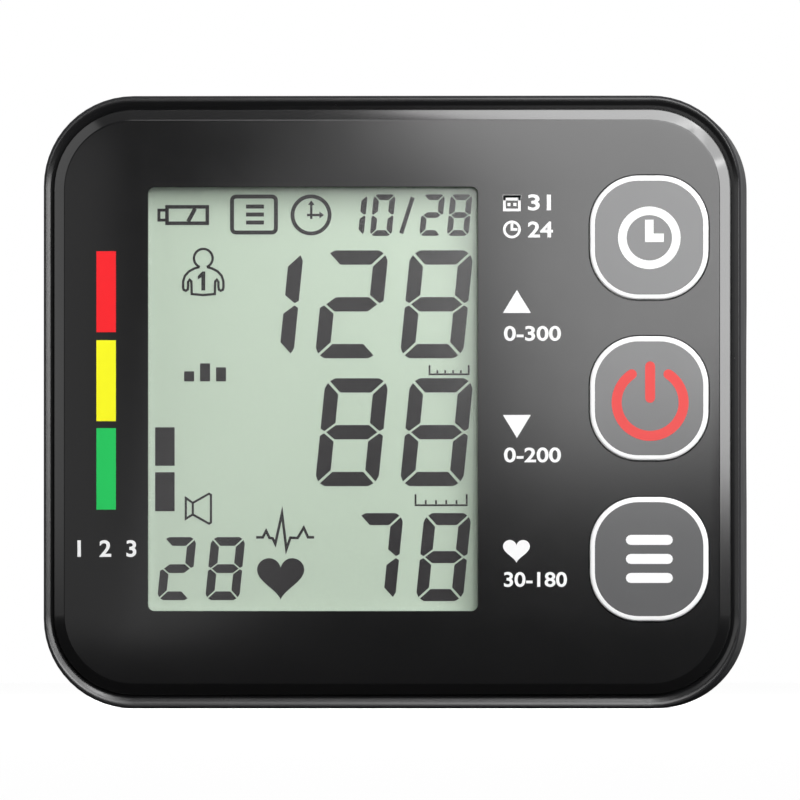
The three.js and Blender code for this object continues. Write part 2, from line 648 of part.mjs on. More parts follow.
// Release valve, pressure sensor, junction and hoses
function airPieces() {
  const line = [airX, pumpY];
  const valveSpan = [around(airX, VALVE_SIDE), around(valveY, VALVE_SIDE)];
  const boreAt = [airX, valveY];
  const boreTop = valveBottom + VALVE_BORE_DEPTH;
  const valveBody = cutAll(
    box(...valveSpan, [valveBottom, VALVE_TOP]).add(
      smallRod('z', NOZZLE_RADIUS, [VALVE_TOP - PAST, VALVE_TOP + VALVE_NOZZLE_LENGTH], line),
    ),
    [
      rod('z', VALVE_BORE_RADIUS, [valveBottom - PAST, boreTop], boreAt),
      smallRod('z', AIRWAY_RADIUS, [boreTop - PAST, VALVE_TOP + VALVE_NOZZLE_LENGTH + PAST], line),
    ],
  );
  const plungerTop = boreTop - VALVE_SPRING_LENGTH - 2 * SEAT;
  const plungerSpan = [plungerTop - VALVE_PLUNGER_LENGTH, plungerTop];
  const plunger = rod('z', VALVE_BORE_RADIUS - SLIDE, plungerSpan, boreAt);
  const springRadius = VALVE_BORE_RADIUS - SLIDE - VALVE_SPRING_WIRE;
  const springFoot = plungerTop + SEAT + VALVE_SPRING_WIRE / 2;
  const springTip = springFoot + VALVE_SPRING_LENGTH - VALVE_SPRING_WIRE;
  const springShape = [springRadius, springRadius, VALVE_SPRING_TURNS, VALVE_SPRING_WIRE];
  const spring = coil(springFoot, springTip, ...springShape, boreAt);
  const cap = box(...valveSpan, [valveBottom - SEAT - VALVE_CAP, valveBottom - SEAT]);

  const sensorTop = boardBack + SEAT + SENSOR_HEIGHT;
  const sensorTip = sensorTop + SENSOR_NOZZLE_LENGTH;
  const sensorAt = [airX, 0];
  const sensor = box(around(airX, SENSOR_SIDE), [boardBack + SEAT, sensorTop], around(0, SENSOR_SIDE))
    .add(smallRod('y', NOZZLE_RADIUS, [sensorTop - PAST, sensorTip], sensorAt))
    .subtract(smallRod('y', AIRWAY_RADIUS, [sensorTop, sensorTip + PAST], sensorAt));

  const arms = (radius, reach) => [
    smallRod('y', radius, [pumpY - reach, pumpY + reach], sensorAt),
    smallRod('x', radius, [airX, airX + reach], [pumpY, 0]),
    smallRod('z', radius, [-reach, 0], line),
  ];
  const hub = box(
    around(airX, 2 * JUNCTION_HALF),
    around(pumpY, 2 * JUNCTION_HALF),
    around(0, 2 * JUNCTION_HALF),
  );
  const nozzles = join([hub, ...arms(NOZZLE_RADIUS, junctionTip)]);
  const junction = cutAll(nozzles, arms(AIRWAY_RADIUS, junctionTip + PAST));
  const start = JUNCTION_HALF + SEAT;
  const hose = (axis, span, at) => tube(axis, HOSE_RADIUS, HOSE_BORE_RADIUS, span, at);
  const hoses = {
    hose_sensor: hose('y', [sensorTop + SEAT, pumpY - start], sensorAt),
    hose_cuff: hose('y', [pumpY + start, nippleShoulder() - SEAT], sensorAt),
    hose_pump: hose('x', [airX + start, pumpLeft - SEAT], [pumpY, 0]),
    hose_valve: hose('z', [VALVE_TOP + SEAT, -start], line),
  };
  return [
    piece('valve_body', valveBody, 0x2c2c30, 0.5),
    piece('valve_plunger', plunger, 0xa8a8aa, 0.3, 1),
    piece('valve_spring', spring, 0xb8b8ba, 0.25, 1),
    piece('valve_cap', cap, 0x8e9092, 0.35, 1),
    piece('pressure_sensor', sensor, 0xdcdcd6, 0.5),
    piece('air_junction', junction, 0xd8d8d4, 0.5),
    ...Object.entries(hoses).map(([name, solid]) => piece(name, solid, 0xe4e2da, 0.7)),
  ];
}

function nippleShoulder() {
  return pumpY + junctionTip + RUN + NOZZLE_LENGTH;
}

// Case
function outline(levels) {
  return prism(levels.map(([y, inset]) => (
    [y, BODY_WIDTH - 2 * inset, BODY_HEIGHT - 2 * inset, BODY_CORNER - inset]
  )));
}

function frontPanel() {
  const bevelled = [
    [0, panelWidth - 2 * PANEL_BEVEL, panelHeight - 2 * PANEL_BEVEL, panelCorner - PANEL_BEVEL],
    [PANEL_BEVEL_DEPTH, panelWidth, panelHeight, panelCorner],
    [PANEL_THICKNESS, panelWidth, panelHeight, panelCorner],
  ];
  const through = [-PAST, PANEL_THICKNESS + PAST];
  const view = slab(through, windowWidth, windowHeight, WINDOW_CORNER, [windowX, windowZ]);
  return piece('front_panel', cutAll(prism(bevelled), [view, ...keyHoles(through)]), 0x0b0b0c, 0.12);
}

function keyHoles(through) {
  const size = [KEY_WIDTH + 2 * SLIDE, keyHeight + 2 * SLIDE, keyCorner + SLIDE];
  return KEY_NAMES.map((_, index) => slab(through, ...size, keyPlace(index)));
}

function frontBezel() {
  const shell = prism([
    ...roundedEdge(RIM_SET_BACK, RIM_ROUND, 1, BODY_WIDTH, BODY_HEIGHT, BODY_CORNER),
    [PART_LINE, BODY_WIDTH, BODY_HEIGHT, BODY_CORNER],
  ]);
  const pocketSize = (grow) => [panelWidth + 2 * grow, panelHeight + 2 * grow, panelCorner + grow];
  const pocket = prism([
    [RIM_SET_BACK - RIM_INNER, ...pocketSize(SLIDE + 2 * RIM_INNER)],
    [RIM_SET_BACK + RIM_INNER, ...pocketSize(SLIDE)],
    [webFront, ...pocketSize(SLIDE)],
  ]);
  const cavity = outline([[webBack, WALL], [PART_LINE + PAST, WALL]]);
  const through = [webFront - PAST, webBack + PAST];
  const glassSize = [glassWidth + 2 * SLIDE, glassHeight + 2 * SLIDE, WINDOW_CORNER];
  const openings = [slab(through, ...glassSize, [windowX, windowZ]), ...keyHoles(through)];
  const inWeb = webBack - WEB_THICKNESS / 2;
  const posts = boardScrewPlaces.map((at) => rod('y', POST_RADIUS, [inWeb, boardFront - SEAT], at));
  const bosses = bossPlaces().map((at) => rod('y', BOSS_RADIUS, [inWeb, PART_LINE], at));
  const screwTip = coverFront + SCREW_FLOOR + SEAT - SCREW_LENGTH;
  const boardScrewTip = boardBack + SEAT - BOARD_SCREW_LENGTH;
  const holes = [
    ...bossPlaces().map((at) => smallRod('y', SCREW_RADIUS + SLIDE, [screwTip - RUN, PART_LINE + PAST], at)),
    ...boardScrewPlaces.map((at) => (
      smallRod('y', BOARD_SCREW_RADIUS + SLIDE, [boardScrewTip - RUN, boardFront], at)
    )),
  ];
  const hollow = cutAll(shell, [pocket, cavity, ...openings]);
  return piece('front_bezel', cutAll(join([hollow, ...posts, ...bosses]), holes), 0x101012, 0.3);
}

function rearCover() {
  const outer = prism([
    [coverFront, BODY_WIDTH, BODY_HEIGHT, BODY_CORNER],
    ...roundedEdge(BODY_DEPTH, REAR_FILLET, -1, BODY_WIDTH, BODY_HEIGHT, BODY_CORNER).reverse(),
  ]);
  const saddle = sleeveThickness + RUN;
  const innerSaddle = saddle + BACK_WALL;
  const inWall = ovalBlock(saddle + BACK_WALL / 2);
  const hollow = outline([[coverFront - PAST, WALL], [BODY_DEPTH - WALL, WALL]]);
  const cavity = hollow.subtract(ovalBlock(innerSaddle));
  const bosses = bossPlaces().map((at) => rod('y', BOSS_RADIUS, [coverFront, BODY_DEPTH - WALL / 2], at));
  const cradles = Array.from({ length: CRADLE_COUNT }, (_, i) => {
    const z = motorFloor + ((i + 1) * motorLength) / (CRADLE_COUNT + 1);
    const depth = [pumpY, BODY_DEPTH - WALL / 2];
    return box(around(pumpX, 2 * MOTOR_RADIUS), depth, around(z, CRADLE_THICKNESS)).subtract(inWall);
  });
  const pads = cuffScrewPlaces().map(([x, z]) => {
    const face = ovalFaceY(innerSaddle, z);
    return rod('y', CUFF_PAD_RADIUS, [face - CUFF_PAD_HEIGHT, face + BACK_WALL], [x, z]).subtract(inWall);
  });
  const ears = [-1, 1].map((end) => {
    const near = doorHalf + DOOR_GAP;
    const span = [near, near + EAR_LENGTH].map((z) => end * z).sort((a, b) => a - b);
    const earX = [hingeX - HINGE_RADIUS / 2, hingeX + HINGE_RADIUS];
    return box(earX, around(hingeY, 2 * HINGE_RADIUS), span).intersect(outer);
  });
  const opening = box(
    [-halfWidth - PAST, hingeX + HINGE_RADIUS + DOOR_GAP],
    [coverFront - PAST, doorBack + DOOR_GAP],
    around(0, 2 * (doorHalf + DOOR_GAP)),
  );
  const pinReach = doorHalf + PIN_LENGTH + PIN_PLAY;
  const headSeat = coverFront + SCREW_FLOOR;
  const shankHole = [coverFront - PAST, headSeat + PAST];
  const holes = [
    smallRod('z', PIN_RADIUS + PIN_PLAY, [-pinReach, pinReach], [hingeX, hingeY]),
    rod('z', MOTOR_RADIUS + SLIDE, [motorFloor, motorFloor + motorLength], [pumpX, pumpY]),
    smallRod('y', NIPPLE_RADIUS + SLIDE, [backInside - PAST, saddleY + PAST], [airX, 0]),
    ...bossPlaces().map((at) => smallRod('y', SCREW_RADIUS + SLIDE, shankHole, at)),
    ...bossPlaces().map((at) => rod('y', SCREW_HEAD_RADIUS + RUN, [headSeat, BODY_DEPTH + PAST], at)),
    ...cuffScrewHoles(),
  ];
  const shell = cutAll(outer, [ovalBlock(saddle), cavity]);
  const fitted = join([shell, ...bosses, ...cradles, ...pads]).subtract(opening);
  return piece('rear_cover', cutAll(join([fitted, ...ears]), holes), 0x141416, 0.45);
}

function caseScrews() {
  const seat = coverFront + SCREW_FLOOR + SEAT;
  return bossPlaces().map((at, index) => {
    const solid = turned('y', [
      [0, seat - SCREW_LENGTH],
      [SCREW_RADIUS, seat - SCREW_LENGTH],
      [SCREW_RADIUS, seat],
      [SCREW_HEAD_RADIUS, seat],
      [SCREW_HEAD_RADIUS, seat + SCREW_HEAD],
      [0, seat + SCREW_HEAD],
    ], at, SMALL_SIDES);
    return piece(`case_screw_${index + 1}`, solid, 0x6c6c70, 0.3, 1);
  });
}

function cellDoor() {
  const inside = outline([[hingeY - PAST, WALL], [doorBack + PAST, WALL]]);
  const ring = outline([[hingeY, 0], [doorBack, 0]]).subtract(inside);
  const span = around(0, 2 * doorHalf);
  const plate = ring.intersect(box([-halfWidth - PAST, -innerHalfWidth + WALL], [hingeY, doorBack], span));
  const axis = [hingeX, hingeY];
  const tongueBack = doorBack - TONGUE_SET_BACK;
  const tongue = box(
    [-innerHalfWidth - WALL / 2, -innerHalfWidth + TONGUE_REACH],
    [tongueBack - TONGUE_THICKNESS, tongueBack],
    around(0, TONGUE_WIDTH),
  );
  const pinReach = doorHalf + PIN_LENGTH;
  const scoopAt = [-halfWidth - THUMB_RADIUS + THUMB_DEPTH, 0];
  const scoop = rod('y', THUMB_RADIUS, [doorBack - THUMB_LENGTH, doorBack + PAST], scoopAt, 2 * ROUND_SIDES);
  const door = join([
    plate,
    rod('z', HINGE_RADIUS, span, axis),
    smallRod('z', PIN_RADIUS, [-pinReach, pinReach], axis),
    tongue,
  ]);
  return piece('cell_door', door.subtract(scoop), 0x141416, 0.45);
}

// Cuff
function cuffScrewPlaces() {
  return [-1, 1].map((side) => [airX, side * CUFF_SCREW_Z]);
}

function cuffScrewHoles() {
  const depth = [backInside - CUFF_PAD_HEIGHT - PAST, wristY];
  return cuffScrewPlaces().map((at) => smallRod('y', CUFF_SCREW_RADIUS + SLIDE, depth, at));
}

function cuffPieces() {
  const bladderOut = LINING + SEAT;
  const stiffenerOut = bladderOut + BLADDER + SEAT;
  const fabricOut = stiffenerOut + STIFFENER + SEAT;
  const layer = (inside, thickness, reach, width) => (
    ovalStrip(inside, inside + thickness, -reach, reach, width)
  );
  const nippleHole = (radius) => rod('y', radius, [backInside, wristY], [airX, 0]);
  const fabric = cutAll(
    layer(fabricOut, SLEEVE_FABRIC, SLEEVE_REACH, SLEEVE_WIDTH),
    [nippleHole(NIPPLE_RADIUS + SLIDE), ...cuffScrewHoles()],
  );
  const stiffener = cutAll(
    layer(stiffenerOut, STIFFENER, STIFFENER_REACH, STIFFENER_WIDTH),
    [nippleHole(NIPPLE_FLANGE_RADIUS + SLIDE), ...cuffScrewHoles()],
  );
  const bladderFace = ovalFaceY(bladderOut + BLADDER, 0);
  const shoulder = nippleShoulder();
  const nippleTip = shoulder - NOZZLE_LENGTH;
  const nippleAirway = smallRod('y', AIRWAY_RADIUS, [nippleTip - PAST, bladderFace], [airX, 0]);
  const nipple = turned('y', [
    [0, nippleTip],
    [NOZZLE_RADIUS, nippleTip],
    [NOZZLE_RADIUS, shoulder],
    [NIPPLE_RADIUS, shoulder],
    [NIPPLE_RADIUS, bladderFace - SLIDE - NIPPLE_FLANGE],
    [NIPPLE_FLANGE_RADIUS, bladderFace - SLIDE - NIPPLE_FLANGE],
    [NIPPLE_FLANGE_RADIUS, bladderFace - SLIDE],
    [0, bladderFace - SLIDE],
  ], [airX, 0]).subtract(nippleAirway);
  const screws = cuffScrewPlaces().map(([x, z], index) => {
    const seat = ovalFaceY(sleeveThickness + RUN + BACK_WALL, z) - CUFF_PAD_HEIGHT - SEAT;
    const tip = ovalFaceY(stiffenerOut, z) - RUN;
    const solid = turned('y', [
      [0, seat - CUFF_SCREW_HEAD],
      [CUFF_SCREW_HEAD_RADIUS, seat - CUFF_SCREW_HEAD],
      [CUFF_SCREW_HEAD_RADIUS, seat],
      [CUFF_SCREW_RADIUS, seat],
      [CUFF_SCREW_RADIUS, tip],
      [0, tip],
    ], [x, z], SMALL_SIDES);
    return piece(`cuff_screw_${index + 1}`, solid, 0x6c6c70, 0.3, 1);
  });
  return [
    piece('cuff_nipple', nipple, 0xd8d8d4, 0.5),
    ...screws,
    piece('cuff_fabric', fabric, 0x24262a, 0.95),
    piece('cuff_stiffener', stiffener, 0xc8ccd0, 0.5),
    piece('cuff_bladder', layer(bladderOut, BLADDER, BLADDER_REACH, BLADDER_WIDTH), 0x5a5c62, 0.8),
    piece('cuff_lining', layer(0, LINING, SLEEVE_REACH, LINING_WIDTH), 0x3a3d42, 0.95),
  ];
}

function strapPieces() {
  const gap = THREE.MathUtils.radToDeg(STRAP_HINGE_GAP / 2 / (WRIST_HEIGHT + strapOutside));
  const strap = ovalStrip(strapInside, strapOutside, STRAP_TIP, 360 + STRAP_HINGE - gap, STRAP_WIDTH);
  const hookIn = sleeveThickness + SLIDE;
  const hookFrom = STRAP_TIP + HOOK_INSET;
  const hook = ovalStrip(hookIn, hookIn + HOOK_THICKNESS, hookFrom, hookFrom + HOOK_SPAN, HOOK_WIDTH);
  return [
    piece('cuff_strap', strap, 0x202226, 0.95),
    piece('hook_patch', hook, 0x17181a, 0.9),
  ];
}

// Assembly, standing on its lower edge with the origin under the middle of its box
function group(pieces) {
  const assembly = new THREE.Group();
  assembly.add(...pieces);
  return assembly;
}

const monitor = group([
  group([frontPanel(), ...displayPieces(), ...KEY_NAMES.flatMap(keyPieces)]),
  group(boardPieces()),
  group(powerPieces()),
  group([...pumpPieces(), ...airPieces()]),
  group([frontBezel(), rearCover(), ...caseScrews(), cellDoor()]),
  group([...cuffPieces(), ...strapPieces()]),
]);
monitor.position.set(0, -middleY, standZ);

export default monitor;
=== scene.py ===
"""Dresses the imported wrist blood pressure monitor: printed front, display, keys, case and cuff."""

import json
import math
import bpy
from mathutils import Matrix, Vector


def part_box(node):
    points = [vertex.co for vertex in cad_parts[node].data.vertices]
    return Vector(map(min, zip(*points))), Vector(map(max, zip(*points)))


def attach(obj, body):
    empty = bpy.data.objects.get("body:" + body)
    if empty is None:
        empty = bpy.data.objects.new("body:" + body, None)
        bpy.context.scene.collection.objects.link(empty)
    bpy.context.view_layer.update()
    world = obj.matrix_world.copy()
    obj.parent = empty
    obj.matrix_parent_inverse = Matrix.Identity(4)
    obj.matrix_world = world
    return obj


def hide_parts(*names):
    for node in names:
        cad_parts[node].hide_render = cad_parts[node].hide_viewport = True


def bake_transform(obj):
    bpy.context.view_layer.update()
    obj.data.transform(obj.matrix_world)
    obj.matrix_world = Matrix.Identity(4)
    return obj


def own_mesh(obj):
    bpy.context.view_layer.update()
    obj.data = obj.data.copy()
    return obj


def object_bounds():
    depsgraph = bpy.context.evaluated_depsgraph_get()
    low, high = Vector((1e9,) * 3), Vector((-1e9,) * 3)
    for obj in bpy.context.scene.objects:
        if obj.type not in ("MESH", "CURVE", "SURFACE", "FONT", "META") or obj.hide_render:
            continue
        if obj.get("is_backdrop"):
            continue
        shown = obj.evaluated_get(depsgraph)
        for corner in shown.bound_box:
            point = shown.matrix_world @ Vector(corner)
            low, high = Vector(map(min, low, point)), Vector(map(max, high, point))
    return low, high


bl_info = {
    "name": "Wrist Blood Pressure Monitor",
    "version": (1, 0, 0),
    "blender": (4, 5, 0),
    "location": "View3D > Sidebar > Monitor",
    "description": "Builds the looks of a wrist blood pressure monitor round its packed CAD part",
    "category": "Object",
}

import bmesh
import bpy
from bpy.props import FloatProperty, FloatVectorProperty, IntProperty, PointerProperty
from mathutils import Matrix, Vector

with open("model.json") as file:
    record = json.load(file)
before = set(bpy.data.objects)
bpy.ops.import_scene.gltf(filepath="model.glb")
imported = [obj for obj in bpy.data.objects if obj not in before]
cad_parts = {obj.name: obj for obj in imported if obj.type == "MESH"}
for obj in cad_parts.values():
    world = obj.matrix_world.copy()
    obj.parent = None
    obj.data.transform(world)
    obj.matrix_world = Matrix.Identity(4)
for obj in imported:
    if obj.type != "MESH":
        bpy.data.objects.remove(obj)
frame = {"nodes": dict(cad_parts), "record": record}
CAD_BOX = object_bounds()

MM = 0.001
PX = 0.1 * MM  # one pixel of the photograph on the panel's face
PHOTO_PANEL_MIDDLE = (391.75, 402.0)  # pixel at the middle of the case
WELD = 0.0005 * MM  # points nearer than this are one
FIGURE_WEIGHT = 0.02  # how much heavier than the font its figures are
CORNER_STEPS = 14  # edges in a large corner
SMALL_STEPS = 10

PANEL_LOW, PANEL_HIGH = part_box("front_panel")
BEZEL_LOW, BEZEL_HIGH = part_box("front_bezel")
GLASS_LOW, GLASS_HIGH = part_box("display_glass")
WINDOW_LOW, WINDOW_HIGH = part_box("display_window")
FACE_Y = PANEL_LOW.y
MIDDLE_Z = (PANEL_LOW.z + PANEL_HIGH.z) / 2
KEY_NAMES = ("start", "power", "memory")


# Sizes and colours that a user would change
def length(name, description, default):
    return FloatProperty(name=name, description=description, default=default, unit="LENGTH", precision=5)


def colour(name, description, default):
    return FloatVectorProperty(
        name=name, description=description, default=default, subtype="COLOR", size=3, min=0.0, max=1.0
    )


class MonitorFrontSizes(bpy.types.PropertyGroup):
    """Sizes of the panel, the rim, the keys and what is printed on them"""

    panel_bevel: length("Panel bevel", "Width of the bevel round the panel", 1.0 * MM)
    panel_bevel_depth: length("Panel bevel depth", "How far the bevel falls", 0.6 * MM)
    panel_edge: length("Panel edge", "Radius between the bevel and the face", 0.28 * MM)
    panel_corner: length("Panel corner", "Corner radius of the panel", 7.9 * MM)
    panel_gap: length("Panel gap", "Gap between the panel and the rim", 0.07 * MM)
    hole_chamfer: length("Hole chamfer", "Chamfer round the window and the key holes", 0.05 * MM)
    window_corner: length("Window corner", "Corner radius of the display window", 0.65 * MM)
    case_corner: length("Case corner", "Corner radius of the case", 9.0 * MM)
    rim_round: length("Rim round", "Radius on the rim's outer edge", 0.23 * MM)
    rim_slope: length("Rim slope", "Width of the rim's slope towards the panel", 0.84 * MM)
    wall: length("Wall", "Thickness of the case's wall", 1.6 * MM)
    key_width: length("Key width", "Width of a key", 11.85 * MM)
    key_height: length("Key height", "Height of a key", 12.4 * MM)
    key_corner: length("Key corner", "Corner radius of a key", 4.9 * MM)
    key_gap: length("Key gap", "Gap round a key in the panel", 0.09 * MM)
    key_round: length("Key round", "Radius on a key's edge", 0.2 * MM)
    key_ring: length("Key ring", "Width of the white ring round a key", 0.5 * MM)
    ink: length("Ink", "Thickness of printing", 0.02 * MM)


class MonitorCuffSizes(bpy.types.PropertyGroup):
    """Sizes of the cuff's sleeve and strap"""

    bore_depth: length("Bore depth", "Half the wrist bore, front to back", 20.6 * MM)
    bore_height: length("Bore height", "Half the wrist bore, up and down", 23.6 * MM)
    sleeve: length("Sleeve", "Thickness of the padded sleeve", 4.5 * MM)
    sleeve_width: length("Sleeve width", "Width of the sleeve along the arm", 62.0 * MM)
    strap_width: length("Strap width", "Width of the closing strap", 54.0 * MM)
    binding: length("Binding", "Width of the tape sewn round the edges", 3.6 * MM)
    stitch: length("Stitch", "Length of one stitch", 1.9 * MM)
    stitch_gap: length("Stitch gap", "Gap between stitches", 0.9 * MM)
    thread: length("Thread", "Diameter of the sewing thread", 0.34 * MM)
    channels: IntProperty(
        name="Channels", description="Sewn channels in the lining", default=5, min=1, max=12
    )


class MonitorColours(bpy.types.PropertyGroup):
    """Colours of the finishes"""

    panel: colour("Panel", "Black behind the clear panel", (0.0035, 0.0035, 0.0038))
    bezel: colour("Bezel", "Moulded front of the case", (0.006, 0.006, 0.0065))
    cover: colour("Cover", "Moulded back of the case", (0.02, 0.02, 0.0215))
    key: colour("Key", "Keys", (0.115, 0.115, 0.118))
    white_ink: colour("White ink", "Labels and key rings", (0.94, 0.94, 0.94))
    red_ink: colour("Red ink", "Highest zone", (0.97, 0.0134, 0.0207))
    yellow_ink: colour("Yellow ink", "Middle zone", (1.0, 0.985, 0.0108))
    green_ink: colour("Green ink", "Lowest zone", (0.0138, 0.58, 0.113))
    power_red: colour("Power red", "Power sign", (0.78, 0.085, 0.082))
    display: colour("Display", "Reflector behind the figures", (0.57, 0.681, 0.559))
    figures: colour("Figures", "Dark display figures", (0.022, 0.02, 0.022))
    cloth: colour("Cloth", "Outside of the cuff", (0.018, 0.019, 0.022))
    lining: colour("Lining", "Inside of the cuff", (0.045, 0.048, 0.055))
    thread: colour("Thread", "Sewing thread", (0.14, 0.142, 0.15))


# Places and outlines on the front, in pixels of the photograph
def spot(px, py):
    """The place on the front, as (x, z), of a pixel of the photograph."""
    return ((px - PHOTO_PANEL_MIDDLE[0]) * PX, MIDDLE_Z + (PHOTO_PANEL_MIDDLE[1] - py) * PX)


def spots(pixels):
    return [spot(*pixel) for pixel in pixels]


def corners_of(box):
    left, top, right, bottom = box
    return [(left, top), (right, top), (right, bottom), (left, bottom)]


def arc(middle, radius, start, end, steps):
    """Points on an arc, angles in degrees counted from the right towards the top."""
    angles = [math.radians(start + (end - start) * i / steps) for i in range(steps + 1)]
    return [(middle[0] + radius * math.cos(a), middle[1] - radius * math.sin(a)) for a in angles]


def heart_outline(box, steps=40):
    left, top, right, bottom = box
    turns = [2 * math.pi * i / steps for i in range(steps)]
    across = [math.sin(a) ** 3 for a in turns]
    up = [13 * math.cos(a) - 5 * math.cos(2 * a) - 2 * math.cos(3 * a) - math.cos(4 * a) for a in turns]
    low, high = min(up), max(up)
    return [
        ((left + right + (right - left) * u) / 2, top + (bottom - top) * (high - v) / (high - low))
        for u, v in zip(across, up)
    ]


def round_ended(points, width, steps=6):
    """Outline of a line of one width with round ends."""
    sides = ([], [])
    for index, here in enumerate(points):
        before, after = points[max(index - 1, 0)], points[min(index + 1, len(points) - 1)]
        along = Vector((after[0] - before[0], after[1] - before[1])).normalized()
        across = Vector((-along.y, along.x)) * width / 2
        sides[0].append((here[0] + across.x, here[1] + across.y))
        sides[1].append((here[0] - across.x, here[1] - across.y))
    outline = list(sides[0])
    for end, other, side in ((points[-1], points[-2], sides[0][-1]), (points[0], points[1], sides[1][0])):
        start = Vector((side[0] - end[0], side[1] - end[1]))
        out = Vector((end[0] - other[0], end[1] - other[1])).normalized() * width / 2
        for i in range(1, steps):
            turn = math.pi * i / steps
            point = start * math.cos(turn) + out * math.sin(turn)
            outline.append((end[0] + point.x, end[1] + point.y))
        if end == points[-1]:
            outline += reversed(sides[1])
    return outline


# Mesh helpers
def front_of(low, high):
    """Middle and size, each as (x, z), of the front of a box."""
    return ((low.x + high.x) / 2, (low.z + high.z) / 2), (high.x - low.x, high.z - low.z)


def put(name, data):
    """A new object in the scene."""
    made = bpy.data.objects.new(name, data)
    bpy.context.scene.collection.objects.link(made)
    return made


def mesh_from(name, bm):
    mesh = bpy.data.meshes.new(name)
    bm.to_mesh(mesh)
    bm.free()
    return mesh


def upright(middle, y):
    """Places a flat shape made in XY so that it faces the viewer at depth y."""
    return Matrix.Translation((middle[0], y, middle[1])) @ Matrix.Rotation(math.pi / 2, 4, "X")


def rounded_loop(bm, middle, size, corner, y, steps):
    """Adds a rounded rectangle facing the viewer and returns its edges, in one loop, without its face."""
    grow = Matrix.Diagonal((size[0], size[1], 1, 1))
    before = set(bm.faces)
    made = bmesh.ops.create_grid(bm, x_segments=1, y_segments=1, size=0.5, matrix=upright(middle, y) @ grow)
    bmesh.ops.bevel(
        bm, geom=made["verts"], offset=corner, segments=steps, profile=0.5, affect="VERTICES", material=-1
    )
    face = next(f for f in bm.faces if f not in before)
    edges = list(face.edges)
    bmesh.ops.delete(bm, geom=[face], context="FACES_ONLY")
    return edges


def bridge(bm, first, second, material=0):
    """Joins two loops, held apart in depth meanwhile, so that loops of one depth pair up rightly."""
    verts = list({vert for edge in second for vert in edge.verts})
    apart = Vector((0, 40 * MM, 0))
    bmesh.ops.translate(bm, verts=verts, vec=apart)
    made = bmesh.ops.bridge_loops(bm, edges=first + second)
    bmesh.ops.translate(bm, verts=verts, vec=-apart)
    for face in made["faces"]:
        face.material_index = material


def cap(bm, *loops):
    """Fills a flat loop, or the field between an outer loop and the holes in it."""
    edges = [edge for loop in loops for edge in loop]
    if len(loops) == 1:
        made = bmesh.ops.contextual_create(bm, geom=edges)["faces"]
    else:
        made = bmesh.ops.triangle_fill(bm, use_beauty=True, use_dissolve=False, edges=edges)["geom"]
    faces = [item for item in made if isinstance(item, bmesh.types.BMFace)]
    if not faces:
        raise RuntimeError("a flat loop stayed open")
    for face in faces:
        face.material_index = 0


def stack(bm, middle, size, corner, profile, steps, materials=None):
    """Joins rounded loops, each given as (inset, y), and returns the first and the last one."""
    loops = []
    for inset, y in profile:
        inner = (size[0] - 2 * inset, size[1] - 2 * inset)
        loops.append(rounded_loop(bm, middle, inner, corner - inset, y, steps))
    for index, (before, after) in enumerate(zip(loops, loops[1:])):
        bridge(bm, before, after, materials[index] if materials else 0)
    return loops[0], loops[-1]


def plate(*shape, **more):
    """A new mesh of rounded loops, joined as stack joins them, with both ends closed."""
    bm = bmesh.new()
    for end in stack(bm, *shape, **more):
        cap(bm, end)
    return bm


def edge_round(radius, y, steps):
    """Profile of a rounded outer edge that ends level at y: (inset, y) from the side to the top."""
    turns = [math.pi / 2 * i / steps for i in range(steps + 1)]
    return [(radius * (1 - math.cos(a)), y + radius * (1 - math.sin(a))) for a in turns]


def push(bm, made, vec):
    """Moves the points that an extrusion made, and returns them."""
    verts = [item for item in made["geom"] if isinstance(item, bmesh.types.BMVert)]
    bmesh.ops.translate(bm, verts=verts, vec=vec)
    return verts


def prism(bm, pixels, y, depth):
    """Adds a flat shape given by its corners on the front, standing from y forward by depth."""
    face = bm.faces.new([bm.verts.new((x, y, z)) for x, z in spots(pixels)])
    face.normal_update()
    if face.normal.y > 0:
        face.normal_flip()
    push(bm, bmesh.ops.extrude_face_region(bm, geom=[face]), (0, -depth, 0))


def line_work(bm, pixels, stroke, y, depth, closed=False):
    """Adds a line of even stroke along points on the front, as a wall that is given its thickness."""
    wall = bmesh.new()
    verts = [wall.verts.new((x, y, z)) for x, z in spots(pixels)]
    pairs = list(zip(verts, verts[1:])) + ([(verts[-1], verts[0])] if closed else [])
    edges = [wall.edges.new(pair) for pair in pairs]
    push(wall, bmesh.ops.extrude_edge_only(wall, edges=edges), (0, -depth, 0))
    bmesh.ops.recalc_face_normals(wall, faces=wall.faces)
    carrier = put("line_work", mesh_from("line_work", wall))
    thick = carrier.modifiers.new("Thickness", "SOLIDIFY")
    thick.thickness = stroke * PX
    thick.offset = 0
    thick.use_even_offset = True
    take(bm, carrier)


def take(bm, carrier):
    """Adds an object's finished mesh to bm and removes the object."""
    bpy.context.view_layer.update()
    finished = bpy.data.meshes.new_from_object(carrier.evaluated_get(bpy.context.evaluated_depsgraph_get()))
    bm.from_mesh(finished)
    data = carrier.data
    bpy.data.objects.remove(carrier)
    bpy.data.meshes.remove(finished)
    (bpy.data.curves if isinstance(data, bpy.types.Curve) else bpy.data.meshes).remove(data)


